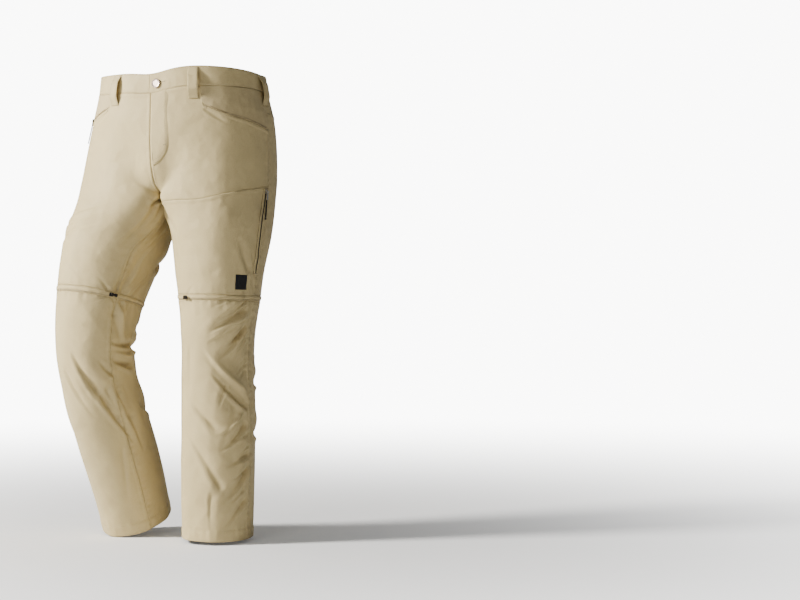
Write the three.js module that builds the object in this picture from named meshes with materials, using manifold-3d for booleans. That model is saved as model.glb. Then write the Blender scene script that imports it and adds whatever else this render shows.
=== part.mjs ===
// Convertible walking trousers whose lower legs zip off, holding the hollow shape they have when worn:
// the wearer's left leg stands straight and the right one steps forward with its knee bent.
// Millimetres, +Z up, the front faces -Y and the wearer's left is +X.
// The origin is the middle of the waist, half way up the waistband.

import * as THREE from 'three';
import { mergeVertices } from 'three/addons/utils/BufferGeometryUtils.js';
import Module from 'manifold-3d';

const manifold = await Module();
manifold.setup();

// Driving sizes
const CLOTH = 1.4;
const SEAM = 0.3;
const LIE = 0.5;
const BAND_TOP = 20;
const HIP_DROP = 140;
const CROTCH_DROP = 250;
const CROTCH_Y = -72;
const CROTCH_EASE = 1.4;
const CROTCH_SOFT = 30;
const ZIP_DROP = 466;
const ZIP_BAND = 11;
const HEM_DROP = { left: 964, right: 962 };
const LEG_TURN = { left: 0, right: 0.095 };
const GIRTH = 500;

// A place on the cloth is a side, a share u of the way round and a drop in millimetres below the top edge.
// u is 0 at the centre front and the inseam, 0.5 at the side seam and 1 at the centre back and the inseam.
const WAIST_SEAM = { front: 41, side: 35, back: 38 };
const YOKE_SEAM = { side: 80, centre: 94 };
const POCKET_MOUTH = { top: 0.226, corner: 0.236 };
const POCKET_EDGE = [
  { u: 0.236, drop: 78 },
  { u: 0.3, drop: 92 },
  { u: 0.4, drop: 105 },
  { u: 0.5, drop: 118 },
];
const POCKET_LIFT = { left: 0, right: 10 };
const CARGO_SEAM = [
  { u: 0, drop: 270 },
  { u: 0.16, drop: 267 },
  { u: 0.26, drop: 266 },
  { u: 0.35, drop: 251 },
  { u: 0.5, drop: 235 },
];
const FLY = { edge: 0.006, width: 0.09, drop: 148, toe: 175, overlap: 0.012, cloth: 1, lie: 0.8 };
const LOOP = { width: 0.04, top: 3, bottom: 66, bow: 7.6, cloth: 1.4 };
const LOOPS = [
  { name: 'belt_loop_front', u: 0.201 },
  { name: 'belt_loop_side', u: 0.5 },
  { name: 'belt_loop_back', u: 0.722 },
];
const ELASTIC = { from: 0.53, to: 0.69, waves: 9, depth: 1.3 };
const LABEL = { left: 0.388, right: 0.437, top: 421, bottom: 450, cloth: 0.8 };
const CARGO_ZIP = [
  { u: 0.482, drop: 240 },
  { u: 0.479, drop: 270 },
  { u: 0.474, drop: 310 },
  { u: 0.477, drop: 360 },
  { u: 0.483, drop: 418 },
];
const WELT = [
  { u: 0.885, drop: 100 },
  { u: 0.75, drop: 110 },
  { u: 0.655, drop: 119 },
];
const TAPE = { width: 12, cloth: 0.9 };
const BUTTON = { u: 0.026, drop: 23, radius: 9.5, height: 3.4, stem: 3, foot: 1.2, bevel: 1, rim: 3.4, dish: 0.7 };
const SLIDER = { width: 7, length: 9, base: 2, corner: 1.5, post: 3, lug: 1, rise: 2.4, pin: 0.6, play: 0.4 };
const TAB = { thick: 1, corner: 1.6, eye: 0.7, start: 0.9, neck: 5, blade: 5.2, tie: 0.8 };
const CARGO_TAB = { length: 17, below: 8 };
const KNEE_TAB = { length: 12, left: 0.19, right: 0.025 };
const CORD_SLIDER = { width: 6, length: 8, depth: 2.6, corner: 1.4, spread: 0.4 };
const CORD = { radius: 1.6, sides: 8, step: 4, knot: 1.9 };
const CARGO_CORD = { falls: [35, 44, 53, 61], out: 5.6, nearer: 0.5, drift: 0.002 };
const HAND_CORD = { u: 0.372, drop: 92, radius: 1.1, falls: [14, 25, 36, 45] };
const BACK_CORD = { fromEnd: 0.012, above: 1, radius: 1.3, falls: [15, 27, 39, 50] };

// Rings of the hips: depth to the front and back on the centre line, half width to each side
const HIPS = [
  { drop: 0, front: 127, back: 118, left: 179, right: 183 },
  { drop: 42, front: 131, back: 124, left: 186, right: 188 },
  { drop: 90, front: 134, back: 138, left: 196, right: 200 },
  { drop: 140, front: 135, back: 149, left: 199, right: 211 },
  { drop: 190, front: 133, back: 153, left: 200, right: 221 },
  { drop: 262, front: 122, back: 146, left: 200, right: 232 },
  { drop: 340, front: 116, back: 136, left: 198, right: 236 },
];
const HIP_MIDDLE_Y = 6;
const HIP_SQUARE = 2.25;
const LEG_SQUARE = 2.15;

// Rings of each leg: middle of the ring, then its reach to the inseam, side, front and back
const LEGS = {
  left: [
    { drop: 100, x: 92, y: 8, z: -80, inner: 92, outer: 104, front: 122, back: 136 },
    { drop: 200, x: 96, y: 0, z: -180, inner: 96, outer: 104, front: 122, back: 132 },
    { drop: 263, x: 99, y: -8, z: -243, inner: 99, outer: 102, front: 116, back: 124 },
    { drop: 336, x: 102, y: -20, z: -316, inner: 97, outer: 98, front: 108, back: 112 },
    { drop: 400, x: 102, y: -28, z: -380, inner: 89, outer: 90, front: 96, back: 98 },
    { drop: 470, x: 102, y: -31, z: -450, inner: 80, outer: 83, front: 87, back: 88 },
    { drop: 560, x: 100, y: -30, z: -540, inner: 73, outer: 72, front: 80, back: 78 },
    { drop: 640, x: 98, y: -26, z: -620, inner: 73, outer: 73, front: 79, back: 76 },
    { drop: 740, x: 97, y: -22, z: -720, inner: 75, outer: 74, front: 79, back: 78 },
    { drop: 860, x: 94, y: -20, z: -840, inner: 74, outer: 73, front: 78, back: 77 },
    { drop: 964, x: 92, y: -18, z: -942, inner: 71, outer: 70, front: 75, back: 74 },
  ],
  right: [
    { drop: 100, x: -94, y: 0, z: -80, inner: 94, outer: 112, front: 124, back: 136 },
    { drop: 200, x: -104, y: -22, z: -180, inner: 104, outer: 108, front: 124, back: 134 },
    { drop: 263, x: -111, y: -40, z: -243, inner: 111, outer: 104, front: 118, back: 130 },
    { drop: 336, x: -122, y: -64, z: -316, inner: 104, outer: 98, front: 112, back: 118 },
    { drop: 400, x: -132, y: -86, z: -380, inner: 94, outer: 90, front: 104, back: 104 },
    { drop: 470, x: -140, y: -105, z: -449, inner: 86, outer: 81, front: 95, back: 92 },
    { drop: 560, x: -146, y: -114, z: -538, inner: 78, outer: 74, front: 88, back: 81 },
    { drop: 640, x: -143, y: -100, z: -617, inner: 73, outer: 72, front: 82, back: 78 },
    { drop: 740, x: -136, y: -64, z: -713, inner: 74, outer: 70, front: 80, back: 77 },
    { drop: 860, x: -130, y: -16, z: -825, inner: 73, outer: 69, front: 78, back: 76 },
    { drop: 962, x: -126, y: 20, z: -921, inner: 70, outer: 67, front: 75, back: 74 },
  ],
};

// Large folds: strong start, bend and tip as [u, drop], then half width and depth; a minus depth is a ridge
const FOLDS = {
  left: [
    { from: [0.456, 489], by: [0.381, 506], to: [0.285, 536], width: 10, depth: 7 },
    { from: [0.469, 520], by: [0.415, 554], to: [0.335, 584], width: 11, depth: 8 },
    { from: [0.46, 657], by: [0.348, 616], to: [0.268, 562], width: 16, depth: -6 },
    { from: [0.475, 690], by: [0.389, 671], to: [0.3, 612], width: 12, depth: 8 },
    { from: [0.466, 721], by: [0.416, 751], to: [0.335, 776], width: 11, depth: 7 },
    { from: [0.491, 786], by: [0.435, 790], to: [0.36, 810], width: 11, depth: 6 },
    { from: [0.494, 810], by: [0.432, 845], to: [0.35, 884], width: 12, depth: 7 },
    { from: [0.485, 876], by: [0.415, 904], to: [0.35, 938], width: 11, depth: 5 },
    { from: [0.343, 855], by: [0.276, 797], to: [0.19, 745], width: 16, depth: 4 },
    { from: [0.32, 731], by: [0.253, 699], to: [0.17, 655], width: 16, depth: 4 },
    { from: [0.45, 418], by: [0.41, 389], to: [0.385, 350], width: 13, depth: 3 },
    { from: [0.02, 262], by: [0.09, 292], to: [0.17, 345], width: 13, depth: 5 },
    { from: [0.87, 571], by: [0.72, 600], to: [0.58, 580], width: 13, depth: 9 },
    { from: [0.89, 514], by: [0.84, 542], to: [0.76, 558], width: 12, depth: 6 },
    { from: [0.56, 640], by: [0.64, 655], to: [0.78, 636], width: 12, depth: 6 },
    { from: [0.88, 640], by: [0.8, 690], to: [0.7, 722], width: 13, depth: 6 },
    { from: [0.54, 742], by: [0.62, 760], to: [0.74, 742], width: 13, depth: 5 },
    { from: [0.9, 800], by: [0.82, 846], to: [0.72, 872], width: 14, depth: 5 },
    { from: [0.955, 220], by: [0.95, 178], to: [0.91, 140], width: 14, depth: 4 },
    { from: [0.95, 268], by: [0.86, 300], to: [0.74, 316], width: 15, depth: 6 },
  ],
  right: [
    { from: [0.05, 262], by: [0.062, 300], to: [0.045, 372], width: 13, depth: 6 },
    { from: [0.286, 343], by: [0.26, 320], to: [0.215, 292], width: 14, depth: 3 },
    { from: [0.3, 372], by: [0.25, 345], to: [0.17, 322], width: 14, depth: 3 },
    { from: [0.99, 462], by: [0.962, 405], to: [0.94, 320], width: 11, depth: 6 },
    { from: [0.985, 485], by: [0.955, 518], to: [0.93, 565], width: 16, depth: -6 },
    { from: [0.865, 568], by: [0.94, 568], to: [1, 556], width: 9, depth: 8 },
    { from: [0.87, 620], by: [0.945, 607], to: [1, 590], width: 10, depth: 9 },
    { from: [0.07, 650], by: [0.12, 608], to: [0.158, 568], width: 12, depth: 7 },
    { from: [0.065, 650], by: [0.035, 690], to: [-0.02, 765], width: 11, depth: 7 },
    { from: [-0.03, 700], by: [-0.05, 740], to: [-0.06, 800], width: 12, depth: 4 },
    { from: [0.86, 572], by: [0.72, 602], to: [0.58, 576], width: 13, depth: 9 },
    { from: [0.82, 524], by: [0.7, 540], to: [0.6, 520], width: 12, depth: 6 },
    { from: [0.56, 640], by: [0.64, 662], to: [0.8, 646], width: 13, depth: 7 },
    { from: [0.88, 700], by: [0.8, 740], to: [0.68, 760], width: 14, depth: 5 },
    { from: [0.55, 790], by: [0.64, 812], to: [0.76, 800], width: 14, depth: 5 },
    { from: [0.42, 640], by: [0.34, 700], to: [0.25, 742], width: 15, depth: 4 },
    { from: [0.955, 222], by: [0.95, 182], to: [0.91, 145], width: 14, depth: 4 },
    { from: [0.95, 270], by: [0.86, 302], to: [0.74, 318], width: 15, depth: 6 },
    { from: [0.84, 392], by: [0.79, 372], to: [0.69, 356], width: 14, depth: 5 },
  ],
};

const MATERIALS = {
  cloth: new THREE.MeshStandardMaterial({ name: 'khaki_nylon', color: 0xcfc1a6, roughness: 0.62 }),
  facing: new THREE.MeshStandardMaterial({ name: 'facing_nylon', color: 0xc4b59a, roughness: 0.66 }),
  tape: new THREE.MeshStandardMaterial({ name: 'zip_tape', color: 0x3a3128, roughness: 0.7 }),
  label: new THREE.MeshStandardMaterial({ name: 'black_label', color: 0x121214, roughness: 0.75 }),
  metal: new THREE.MeshStandardMaterial({ name: 'silver_metal', color: 0xc9c5c0, roughness: 0.3, metalness: 1 }),
  black: new THREE.MeshStandardMaterial({ name: 'black_metal', color: 0x1a1a1c, roughness: 0.4, metalness: 0.6 }),
  button: new THREE.MeshStandardMaterial({ name: 'button_metal', color: 0xd8ccc6, roughness: 0.35, metalness: 0.8 }),
  cord: new THREE.MeshStandardMaterial({ name: 'dark_cord', color: 0x2a2622, roughness: 0.85 }),
};

const garment = new THREE.Group();
garment.name = 'zip_off_trousers';

// Curves through the tables

function smooth(share) {
  const t = Math.min(1, Math.max(0, share));
  return t * t * (3 - 2 * t);
}

function curveOf(rows, key, value) {
  const xs = rows.map((row) => row[key]);
  const ys = rows.map((row) => row[value]);
  const last = xs.length - 1;
  const rise = ys.slice(1).map((y, i) => (y - ys[i]) / (xs[i + 1] - xs[i]));
  const slope = ys.map((_, i) => {
    if (i === 0) return rise[0];
    if (i === last) return rise[last - 1];
    const before = xs[i] - xs[i - 1];
    const after = xs[i + 1] - xs[i];
    return (rise[i - 1] * after + rise[i] * before) / (before + after);
  });
  return (where) => {
    const x = Math.min(xs[last], Math.max(xs[0], where));
    let i = 0;
    while (i < last - 1 && x >= xs[i + 1]) i += 1;
    const h = xs[i + 1] - xs[i];
    const t = (x - xs[i]) / h;
    const t2 = t * t;
    const t3 = t2 * t;
    return (2 * t3 - 3 * t2 + 1) * ys[i] + (t3 - 2 * t2 + t) * h * slope[i]
      + (3 * t2 - 2 * t3) * ys[i + 1] + (t3 - t2) * h * slope[i + 1];
  };
}

function curvesOf(rows, key, names) {
  return Object.fromEntries(names.map((name) => [name, curveOf(rows, key, name)]));
}

const hips = curvesOf(HIPS, 'drop', ['front', 'back', 'left', 'right']);
const RING = ['x', 'y', 'z', 'inner', 'outer', 'front', 'back'];
const legs = { left: curvesOf(LEGS.left, 'drop', RING), right: curvesOf(LEGS.right, 'drop', RING) };
const pocketEdge = curveOf(POCKET_EDGE, 'u', 'drop');
const cargoSeam = curveOf(CARGO_SEAM, 'u', 'drop');

function waistSeam(u) {
  const { front, side, back } = WAIST_SEAM;
  if (u < 0.5) return front + (side - front) * smooth((u - 0.2) / 0.3);
  return side + (back - side) * smooth((u - 0.5) / 0.5);
}

function yokeSeam(u) {
  return YOKE_SEAM.side + (YOKE_SEAM.centre - YOKE_SEAM.side) * (u - 0.5) * 2;
}

// The form of the cloth, before its folds

function ovalReach(along, across, depth, width, square) {
  const sum = (Math.abs(along) / depth) ** square + (Math.abs(across) / width) ** square;
  return sum ** (-1 / square);
}

// Rise and dip of the waist's edge round the body, fading out over the hips
function waistLift(angle, drop) {
  const front = Math.cos(angle) > 0 ? 8 * Math.sin(2 * angle) : 0;
  const dip = 9 * Math.exp(-((angle / THREE.MathUtils.degToRad(20)) ** 2));
  return (1 - smooth(drop / 240)) * (2 - 5 * Math.sin(angle) + front - dip);
}

function hipPoint(side, u, drop) {
  const sign = side === 'left' ? 1 : -1;
  const angle = Math.PI * u;
  const depth = Math.cos(angle) > 0 ? hips.front(drop) + HIP_MIDDLE_Y : hips.back(drop) - HIP_MIDDLE_Y;
  const reach = ovalReach(Math.cos(angle), Math.sin(angle), depth, hips[side](drop), HIP_SQUARE);
  return new THREE.Vector3(
    sign * reach * Math.sin(angle),
    HIP_MIDDLE_Y - reach * Math.cos(angle),
    BAND_TOP - drop + waistLift(sign * angle, drop),
  );
}

function legPoint(side, u, drop) {
  const sign = side === 'left' ? 1 : -1;
  const leg = legs[side];
  const turn = LEG_TURN[side] * smooth((drop - 264) / 120);
  const angle = 2 * Math.PI * (u + turn);
  const width = Math.cos(angle) > 0 ? leg.inner(drop) : leg.outer(drop);
  const depth = Math.sin(angle) > 0 ? leg.front(drop) : leg.back(drop);
  const reach = ovalReach(Math.sin(angle), Math.cos(angle), depth, width, LEG_SQUARE);
  const dx = -sign * reach * Math.cos(angle);
  const dy = -reach * Math.sin(angle);
  const fall = leg.z(drop - 8) - leg.z(drop + 8) || 1;
  const leanX = (leg.x(drop + 8) - leg.x(drop - 8)) / fall;
  const leanY = (leg.y(drop + 8) - leg.y(drop - 8)) / fall;
  const square = smooth((drop - 200) / 320);
  return new THREE.Vector3(
    leg.x(drop) + dx,
    leg.y(drop) + dy,
    leg.z(drop) + square * (leanX * dx + leanY * dy),
  );
}

// Half a ring of the hips turns into a whole ring of the leg, and its two ends run along the crotch seam.
// The sharp turn at the end of that seam is softened away from it.
function plainPoint(side, u, drop) {
  const rise = CROTCH_DROP - HIP_DROP;
  const soft = 0.5 + CROTCH_SOFT * smooth(Math.abs(u - Math.round(u)) / 0.07);
  const past = THREE.MathUtils.clamp(drop - CROTCH_DROP, -soft, soft) - soft;
  const toCrotch = drop < CROTCH_DROP - soft ? drop - CROTCH_DROP : -(past ** 2) / (4 * soft);
  const along = THREE.MathUtils.clamp(1 + toCrotch / rise, 0, 1);
  const turn = (Math.PI / 2) * (along ** CROTCH_EASE / (along ** CROTCH_EASE + (1 - along) ** CROTCH_EASE));
  const end = 1 - Math.cos(turn) ** (1 / CROTCH_EASE);
  const near = Math.abs(Math.cos(Math.PI * u)) ** 10;
  const share = near * end + (1 - near) * smooth((drop - 90) / 260);
  const point = hipPoint(side, u, drop).lerp(legPoint(side, u, drop), share);
  const held = end * (1 - smooth((drop - CROTCH_DROP) / 110));
  point.y += near * held * (CROTCH_Y - legs[side].y(drop));
  point.z += near * rise * (along - Math.sin(turn) ** (1 / CROTCH_EASE));
  return point;
}

function normalOf(surface, side, u, drop) {
  const across = surface(side, u + 0.002, drop).sub(surface(side, u - 0.002, drop));
  const down = surface(side, u, drop + 1).sub(surface(side, u, drop - 1));
  const normal = down.cross(across).normalize();
  return side === 'left' ? normal : normal.negate();
}

// Folds: soft troughs with a low ridge on each side, strong at their start, narrow and faint at their tip

function foldPath(fold) {
  const points = [];
  for (let i = 0; i <= 8; i += 1) {
    const t = i / 8;
    const mix = (k) => (1 - t) ** 2 * fold.from[k] + 2 * t * (1 - t) * fold.by[k] + t * t * fold.to[k];
    points.push([mix(0) * GIRTH, mix(1)]);
  }
  return points;
}

const folds = {
  left: FOLDS.left.map((fold) => ({ ...fold, path: foldPath(fold) })),
  right: FOLDS.right.map((fold) => ({ ...fold, path: foldPath(fold) })),
};

function nearestOnPath(path, x, y) {
  let best = { distance: Infinity, share: 0 };
  for (let i = 0; i < path.length - 1; i += 1) {
    const [ax, ay] = path[i];
    const [bx, by] = path[i + 1];
    const length = (bx - ax) ** 2 + (by - ay) ** 2;
    const t = Math.min(1, Math.max(0, ((x - ax) * (bx - ax) + (y - ay) * (by - ay)) / length));
    const distance = Math.hypot(x - ax - t * (bx - ax), y - ay - t * (by - ay));
    if (distance < best.distance) best = { distance, share: (i + t) / (path.length - 1) };
  }
  return best;
}

function foldRise(side, u, drop) {
  let rise = 0;
  for (const fold of folds[side]) {
    const turns = drop > CROTCH_DROP ? Math.round((fold.path[4][0] / GIRTH) - u) : 0;
    const { distance, share } = nearestOnPath(fold.path, (u + turns) * GIRTH, drop);
    if (distance > 4 * fold.width) continue;
    const wide = fold.width * (1 - 0.5 * share);
    const fade = (0.35 + 0.65 * smooth(share / 0.18)) * (1 - share) ** 0.8 * smooth(share / 0.04 + 0.4);
    const nearLine = distance / wide;
    const dip = 0.6 * Math.exp(-(nearLine ** 2)) + 0.4 * Math.exp(-((2.1 * nearLine) ** 2));
    const brim = 0.34 * Math.exp(-((nearLine - 1.9) ** 2));
    rise -= fold.depth * fade * (dip - brim);
  }
  return rise;
}

// A point of the cloth, moved out from its surface
function clothPoint(side, u, drop, out = 0) {
  const point = plainPoint(side, u, drop);
  point.addScaledVector(normalOf(plainPoint, side, u, drop), foldRise(side, u, drop));
  if (out !== 0) point.addScaledVector(normalOf(foldedPoint, side, u, drop), out);
  const sign = side === 'left' ? 1 : -1;
  if (u >= 0) point.x = sign * Math.max(sign * point.x, SEAM / 2);
  return point;
}

function foldedPoint(side, u, drop) {
  const normal = normalOf(plainPoint, side, u, drop);
  return plainPoint(side, u, drop).addScaledVector(normal, foldRise(side, u, drop));
}

// Solids

// A wall between two grids of points, closed round its edge, or round a ring where its columns meet
function wallGeometry(outer, inner, ring = false) {
  const rows = outer.length;
  const columns = outer[0].length;
  const count = rows * columns;
  const positions = [...outer.flat(), ...inner.flat()].flatMap((point) => point.toArray());
  const index = [];
  const at = (i, j) => i * columns + (j % columns);
  const quad = (a, b, c, d) => index.push(a, b, c, a, c, d);
  const spans = ring ? columns : columns - 1;
  for (let i = 0; i < rows - 1; i += 1) {
    for (let j = 0; j < spans; j += 1) {
      quad(at(i, j), at(i + 1, j), at(i + 1, j + 1), at(i, j + 1));
      quad(count + at(i, j), count + at(i, j + 1), count + at(i + 1, j + 1), count + at(i + 1, j));
    }
  }
  const edge = (a, b) => quad(a, b, count + b, count + a);
  for (let j = 0; j < spans; j += 1) {
    edge(at(0, j), at(0, j + 1));
    edge(at(rows - 1, j + 1), at(rows - 1, j));
  }
  if (!ring) {
    for (let i = 0; i < rows - 1; i += 1) {
      edge(at(i + 1, 0), at(i, 0));
      edge(at(i, columns - 1), at(i + 1, columns - 1));
    }
  }
  return facingOut(positions, index);
}

function facingOut(positions, index) {
  const corner = (k) => new THREE.Vector3().fromArray(positions, 3 * index[k]);
  let volume = 0;
  for (let k = 0; k < index.length; k += 3) volume += corner(k).dot(corner(k + 1).cross(corner(k + 2)));
  if (volume < 0) {
    for (let k = 0; k < index.length; k += 3) [index[k], index[k + 1]] = [index[k + 1], index[k]];
  }
  const geometry = new THREE.BufferGeometry();
  geometry.setAttribute('position', new THREE.Float32BufferAttribute(positions, 3));
  geometry.setIndex(index);
  geometry.computeVertexNormals();
  return geometry;
}

function addPiece(name, geometry, material) {
  const mesh = new THREE.Mesh(geometry, material);
  mesh.name = name;
  garment.add(mesh);
  return mesh;
}

// A cut piece of cloth: place(i, j) gives the u and drop of each point of its grid
function addCloth(name, side, rows, columns, place, options = {}) {
  const { out = 0, cloth = CLOTH, material = MATERIALS.cloth, ring = false, rise = () => 0 } = options;
  const grid = (depth) => range(rows).map((i) => range(columns).map((j) => {
    const { u, drop } = place(i, j);
    return clothPoint(side, u, drop, out + rise(i, j) - depth);
  }));
  return addPiece(name, wallGeometry(grid(0), grid(cloth), ring), material);
}

function range(count) {
  return Array.from({ length: count }, (_, i) => i);
}

function steps(from, to, count) {
  return range(count + 1).map((i) => from + ((to - from) * i) / count);
}

// A panel between two seams, with half a seam's gap left along each of its four edges. Its rows keep their
// own drops, so that they meet the next panel's, and only those near a slanted seam are spread to reach it
function panelPlace(columns, drops, top, bottom, settle) {
  const last = drops.length - 1;
  const upper = settle.upper ?? drops[1];
  const lower = settle.lower ?? drops[last - 1];
  const dropAt = (i, u) => {
    if (drops[i] < upper) {
      const from = top(u) + SEAM / 2;
      return from + ((drops[i] - drops[0]) * (upper - from)) / (upper - drops[0]);
    }
    if (drops[i] > lower) {
      const to = bottom(u) - SEAM / 2;
      return lower + ((drops[i] - lower) * (to - lower)) / (drops[last] - lower);
    }
    return drops[i];
  };
  return (i, j) => {
    const inset = j === 0 ? 1 : j === columns.length - 1 ? -1 : 0;
    return { u: columns[j] + (inset * SEAM) / 2 / GIRTH, drop: dropAt(i, columns[j]) };
  };
}

function addPanel(name, side, columns, drops, top, bottom, options = {}) {
  const place = panelPlace(columns, drops, top, bottom, options.settle ?? {});
  return addCloth(name, side, drops.length, columns.length, place, options);
}

const FRONT = [0, 0.03, 0.06, 0.09, 0.135, 0.18, 0.226, 0.236, 0.28, 0.325, 0.37, 0.415, 0.46, 0.5];
const BACK = steps(0.5, 1, 11);
const SHIN_FRONT = steps(0, 0.5, 11);
const SHIN_BACK = steps(0.5, 1, 11);
const zipTop = () => ZIP_DROP - ZIP_BAND / 2;
const zipBottom = () => ZIP_DROP + ZIP_BAND / 2;

// Drops of the rows of each panel, closer together where the cloth folds most
const SETTLED = 144;
const SEAT_DROPS = [SETTLED, 164, 184, 202, 219, 235, CROTCH_DROP];
const THIGH_DROPS = [268, 288, 309, 331, 353, 375, 397, 419, 440, 460];
const FRONT_DROPS = [41, 66, 92, 118, ...SEAT_DROPS, ...THIGH_DROPS];
const BACK_DROPS = [88, 116, ...SEAT_DROPS, ...THIGH_DROPS];
const HIP_DROPS = [41, 66, 92, 118, ...SEAT_DROPS, 270];
const CARGO_DROPS = [270, ...THIGH_DROPS.slice(1)];
const LOWER_LEG_DROPS = [...steps(471, 700, 12), ...steps(725, 964, 9)];

// A piece whose rows are spread evenly between its two edges
function spread(columns, count, top, bottom) {
  return (i, j) => {
    const inset = j === 0 ? 1 : j === columns.length - 1 ? -1 : 0;
    const u = columns[j];
    const from = top(u) + SEAM / 2;
    const to = bottom(u) - SEAM / 2;
    return { u: u + (inset * SEAM) / 2 / GIRTH, drop: from + ((to - from) * i) / count };
  };
}

function pocketTop(side) {
  return (u) => {
    if (u < POCKET_MOUTH.corner) return waistSeam(u);
    return pocketEdge(u) - POCKET_LIFT[side];
  };
}

function addFronts() {
  const hip = { upper: SETTLED, lower: 202 };
  const thigh = { upper: SETTLED };
  addPanel('front_thigh_right', 'right', FRONT, FRONT_DROPS, pocketTop('right'), zipTop, { settle: thigh });
  addPanel('front_hip_left', 'left', FRONT, HIP_DROPS, pocketTop('left'), cargoSeam, { settle: hip });
  addPanel('cargo_pocket_left', 'left', FRONT, CARGO_DROPS, cargoSeam, zipTop, { settle: { upper: 309 } });
}

function addPocketFacings() {
  const columns = FRONT.filter((u) => u >= POCKET_MOUTH.corner);
  for (const side of ['left', 'right']) {
    const bottom = (u) => pocketEdge(u) - POCKET_LIFT[side];
    const place = spread(columns, 3, waistSeam, bottom);
    const slanted = (i, j) => {
      const at = place(i, j);
      const lean = j === 0 ? (POCKET_MOUTH.top - POCKET_MOUTH.corner) * (1 - i / 3) + SEAM / GIRTH : 0;
      return { u: at.u + lean, drop: at.drop };
    };
    addCloth(`pocket_facing_${side}`, side, 4, columns.length, slanted, { material: MATERIALS.facing });
  }
}

function addBacks() {
  for (const side of ['left', 'right']) {
    addPanel(`back_yoke_${side}`, side, BACK, [38, 63, 88], waistSeam, yokeSeam);
    const settle = { upper: SETTLED };
    addPanel(`back_thigh_${side}`, side, BACK, BACK_DROPS, yokeSeam, zipTop, { settle });
  }
}

function addLowerLegs() {
  for (const side of ['left', 'right']) {
    const hem = () => HEM_DROP[side];
    addPanel(`front_lower_leg_${side}`, side, SHIN_FRONT, LOWER_LEG_DROPS, zipBottom, hem);
    addPanel(`back_lower_leg_${side}`, side, SHIN_BACK, LOWER_LEG_DROPS, zipBottom, hem);
  }
}

function addKneeZips() {
  const columns = steps(0, 1, 44).slice(0, -1);
  const heights = [zipTop() + SEAM / 2, zipBottom() - SEAM / 2];
  const place = (i, j) => ({ u: columns[j], drop: heights[i] });
  for (const side of ['left', 'right']) {
    addCloth(`knee_zip_band_${side}`, side, 2, columns.length, place, { ring: true });
  }
}

// The waistband: the left end laps over the centre front, and elastic gathers the sides of the back
function addWaistband() {
  const drops = [0, 19, 38];
  const top = () => 0;
  const lapped = [-FLY.overlap, 0, ...FRONT.slice(1)];
  const under = [FLY.overlap, ...FRONT.slice(1)];
  addPanel('waistband_front_left', 'left', lapped, drops, top, waistSeam);
  addPanel('waistband_front_right', 'right', under, drops, top, waistSeam);
  const gathers = steps(ELASTIC.from, ELASTIC.to, ELASTIC.waves * 2);
  const columns = [BACK[0], ...gathers, ...BACK.filter((u) => u > ELASTIC.to + 0.01)];
  const rise = (i, j) => {
    const wave = j > 0 && j <= gathers.length && j % 2 === 0 ? 1 : 0;
    return wave * ELASTIC.depth * (i < 2 ? 1 : 0.2);
  };
  for (const side of ['left', 'right']) {
    addPanel(`waistband_back_${side}`, side, columns, drops, top, waistSeam, { rise });
  }
}

function addFly() {
  const columns = [FLY.edge, 0.03, 0.06, FLY.width];
  const toe = (u) => FLY.drop + (FLY.toe - FLY.drop) * Math.sqrt(1 - (u / FLY.width) ** 2);
  const place = spread(columns, 6, waistSeam, toe);
  const options = { out: FLY.lie + FLY.cloth, cloth: FLY.cloth };
  addCloth('fly_placket', 'left', 7, columns.length, place, options);
}

function addBeltLoops() {
  const rows = [0, 0.09, 0.18, 0.3, 0.42, 0.55, 0.68, 0.8, 0.9, 1];
  const bow = (share) => LOOP.bow * smooth((0.5 - Math.abs(share - 0.5)) / 0.33);
  const options = { out: LIE + LOOP.cloth, cloth: LOOP.cloth, rise: (i) => bow(rows[i]) };
  const place = (middle) => (i, j) => ({
    u: middle + LOOP.width * (j / 2 - 0.5),
    drop: LOOP.top + (LOOP.bottom - LOOP.top) * rows[i],
  });
  for (const loop of LOOPS) {
    for (const side of ['left', 'right']) {
      addCloth(`${loop.name}_${side}`, side, rows.length, 3, place(loop.u), options);
    }
  }
  const grid = (out) => rows.map((row, i) => range(3).map((j) => {
    const { drop } = place(1)(i, 1);
    const middle = clothPoint('left', 1, drop, out + bow(rows[i]));
    return new THREE.Vector3(LOOP.width * GIRTH * (j / 2 - 0.5), middle.y, middle.z);
  }));
  addPiece('belt_loop_centre_back', wallGeometry(grid(LIE + LOOP.cloth), grid(LIE)), MATERIALS.cloth);
}

// Strips that lie on a panel along a line of the table
function addStrip(name, side, rows, options) {
  const u = curveOf(rows, 'drop', 'u');
  const first = rows[0].drop;
  const last = rows[rows.length - 1].drop;
  const half = options.width / 2;
  const level = options.level;
  const drops = steps(first, last, options.count);
  const place = (i, j) => {
    const shift = (j - 1) * half;
    if (level) return { u: u(drops[i]), drop: drops[i] + shift };
    return { u: u(drops[i]) + shift / GIRTH, drop: drops[i] };
  };
  addCloth(name, side, drops.length, 3, place, { ...options, out: LIE + options.cloth });
}

function addTrims() {
  addStrip('cargo_zip_left', 'left', CARGO_ZIP, { ...TAPE, count: 8, material: MATERIALS.tape });
  addStrip('back_pocket_welt_right', 'right', WELT, { ...TAPE, count: 6, level: true });
  const place = (i, j) => ({
    u: LABEL.left + ((LABEL.right - LABEL.left) * j) / 2,
    drop: LABEL.top + ((LABEL.bottom - LABEL.top) * i) / 2,
  });
  const options = { out: LIE + LABEL.cloth, cloth: LABEL.cloth, material: MATERIALS.label };
  addCloth('label_left', 'left', 3, 3, place, options);
}

// Hard pieces stand on the cloth in a frame of their own: x across, y up the cloth and z out of it

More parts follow.
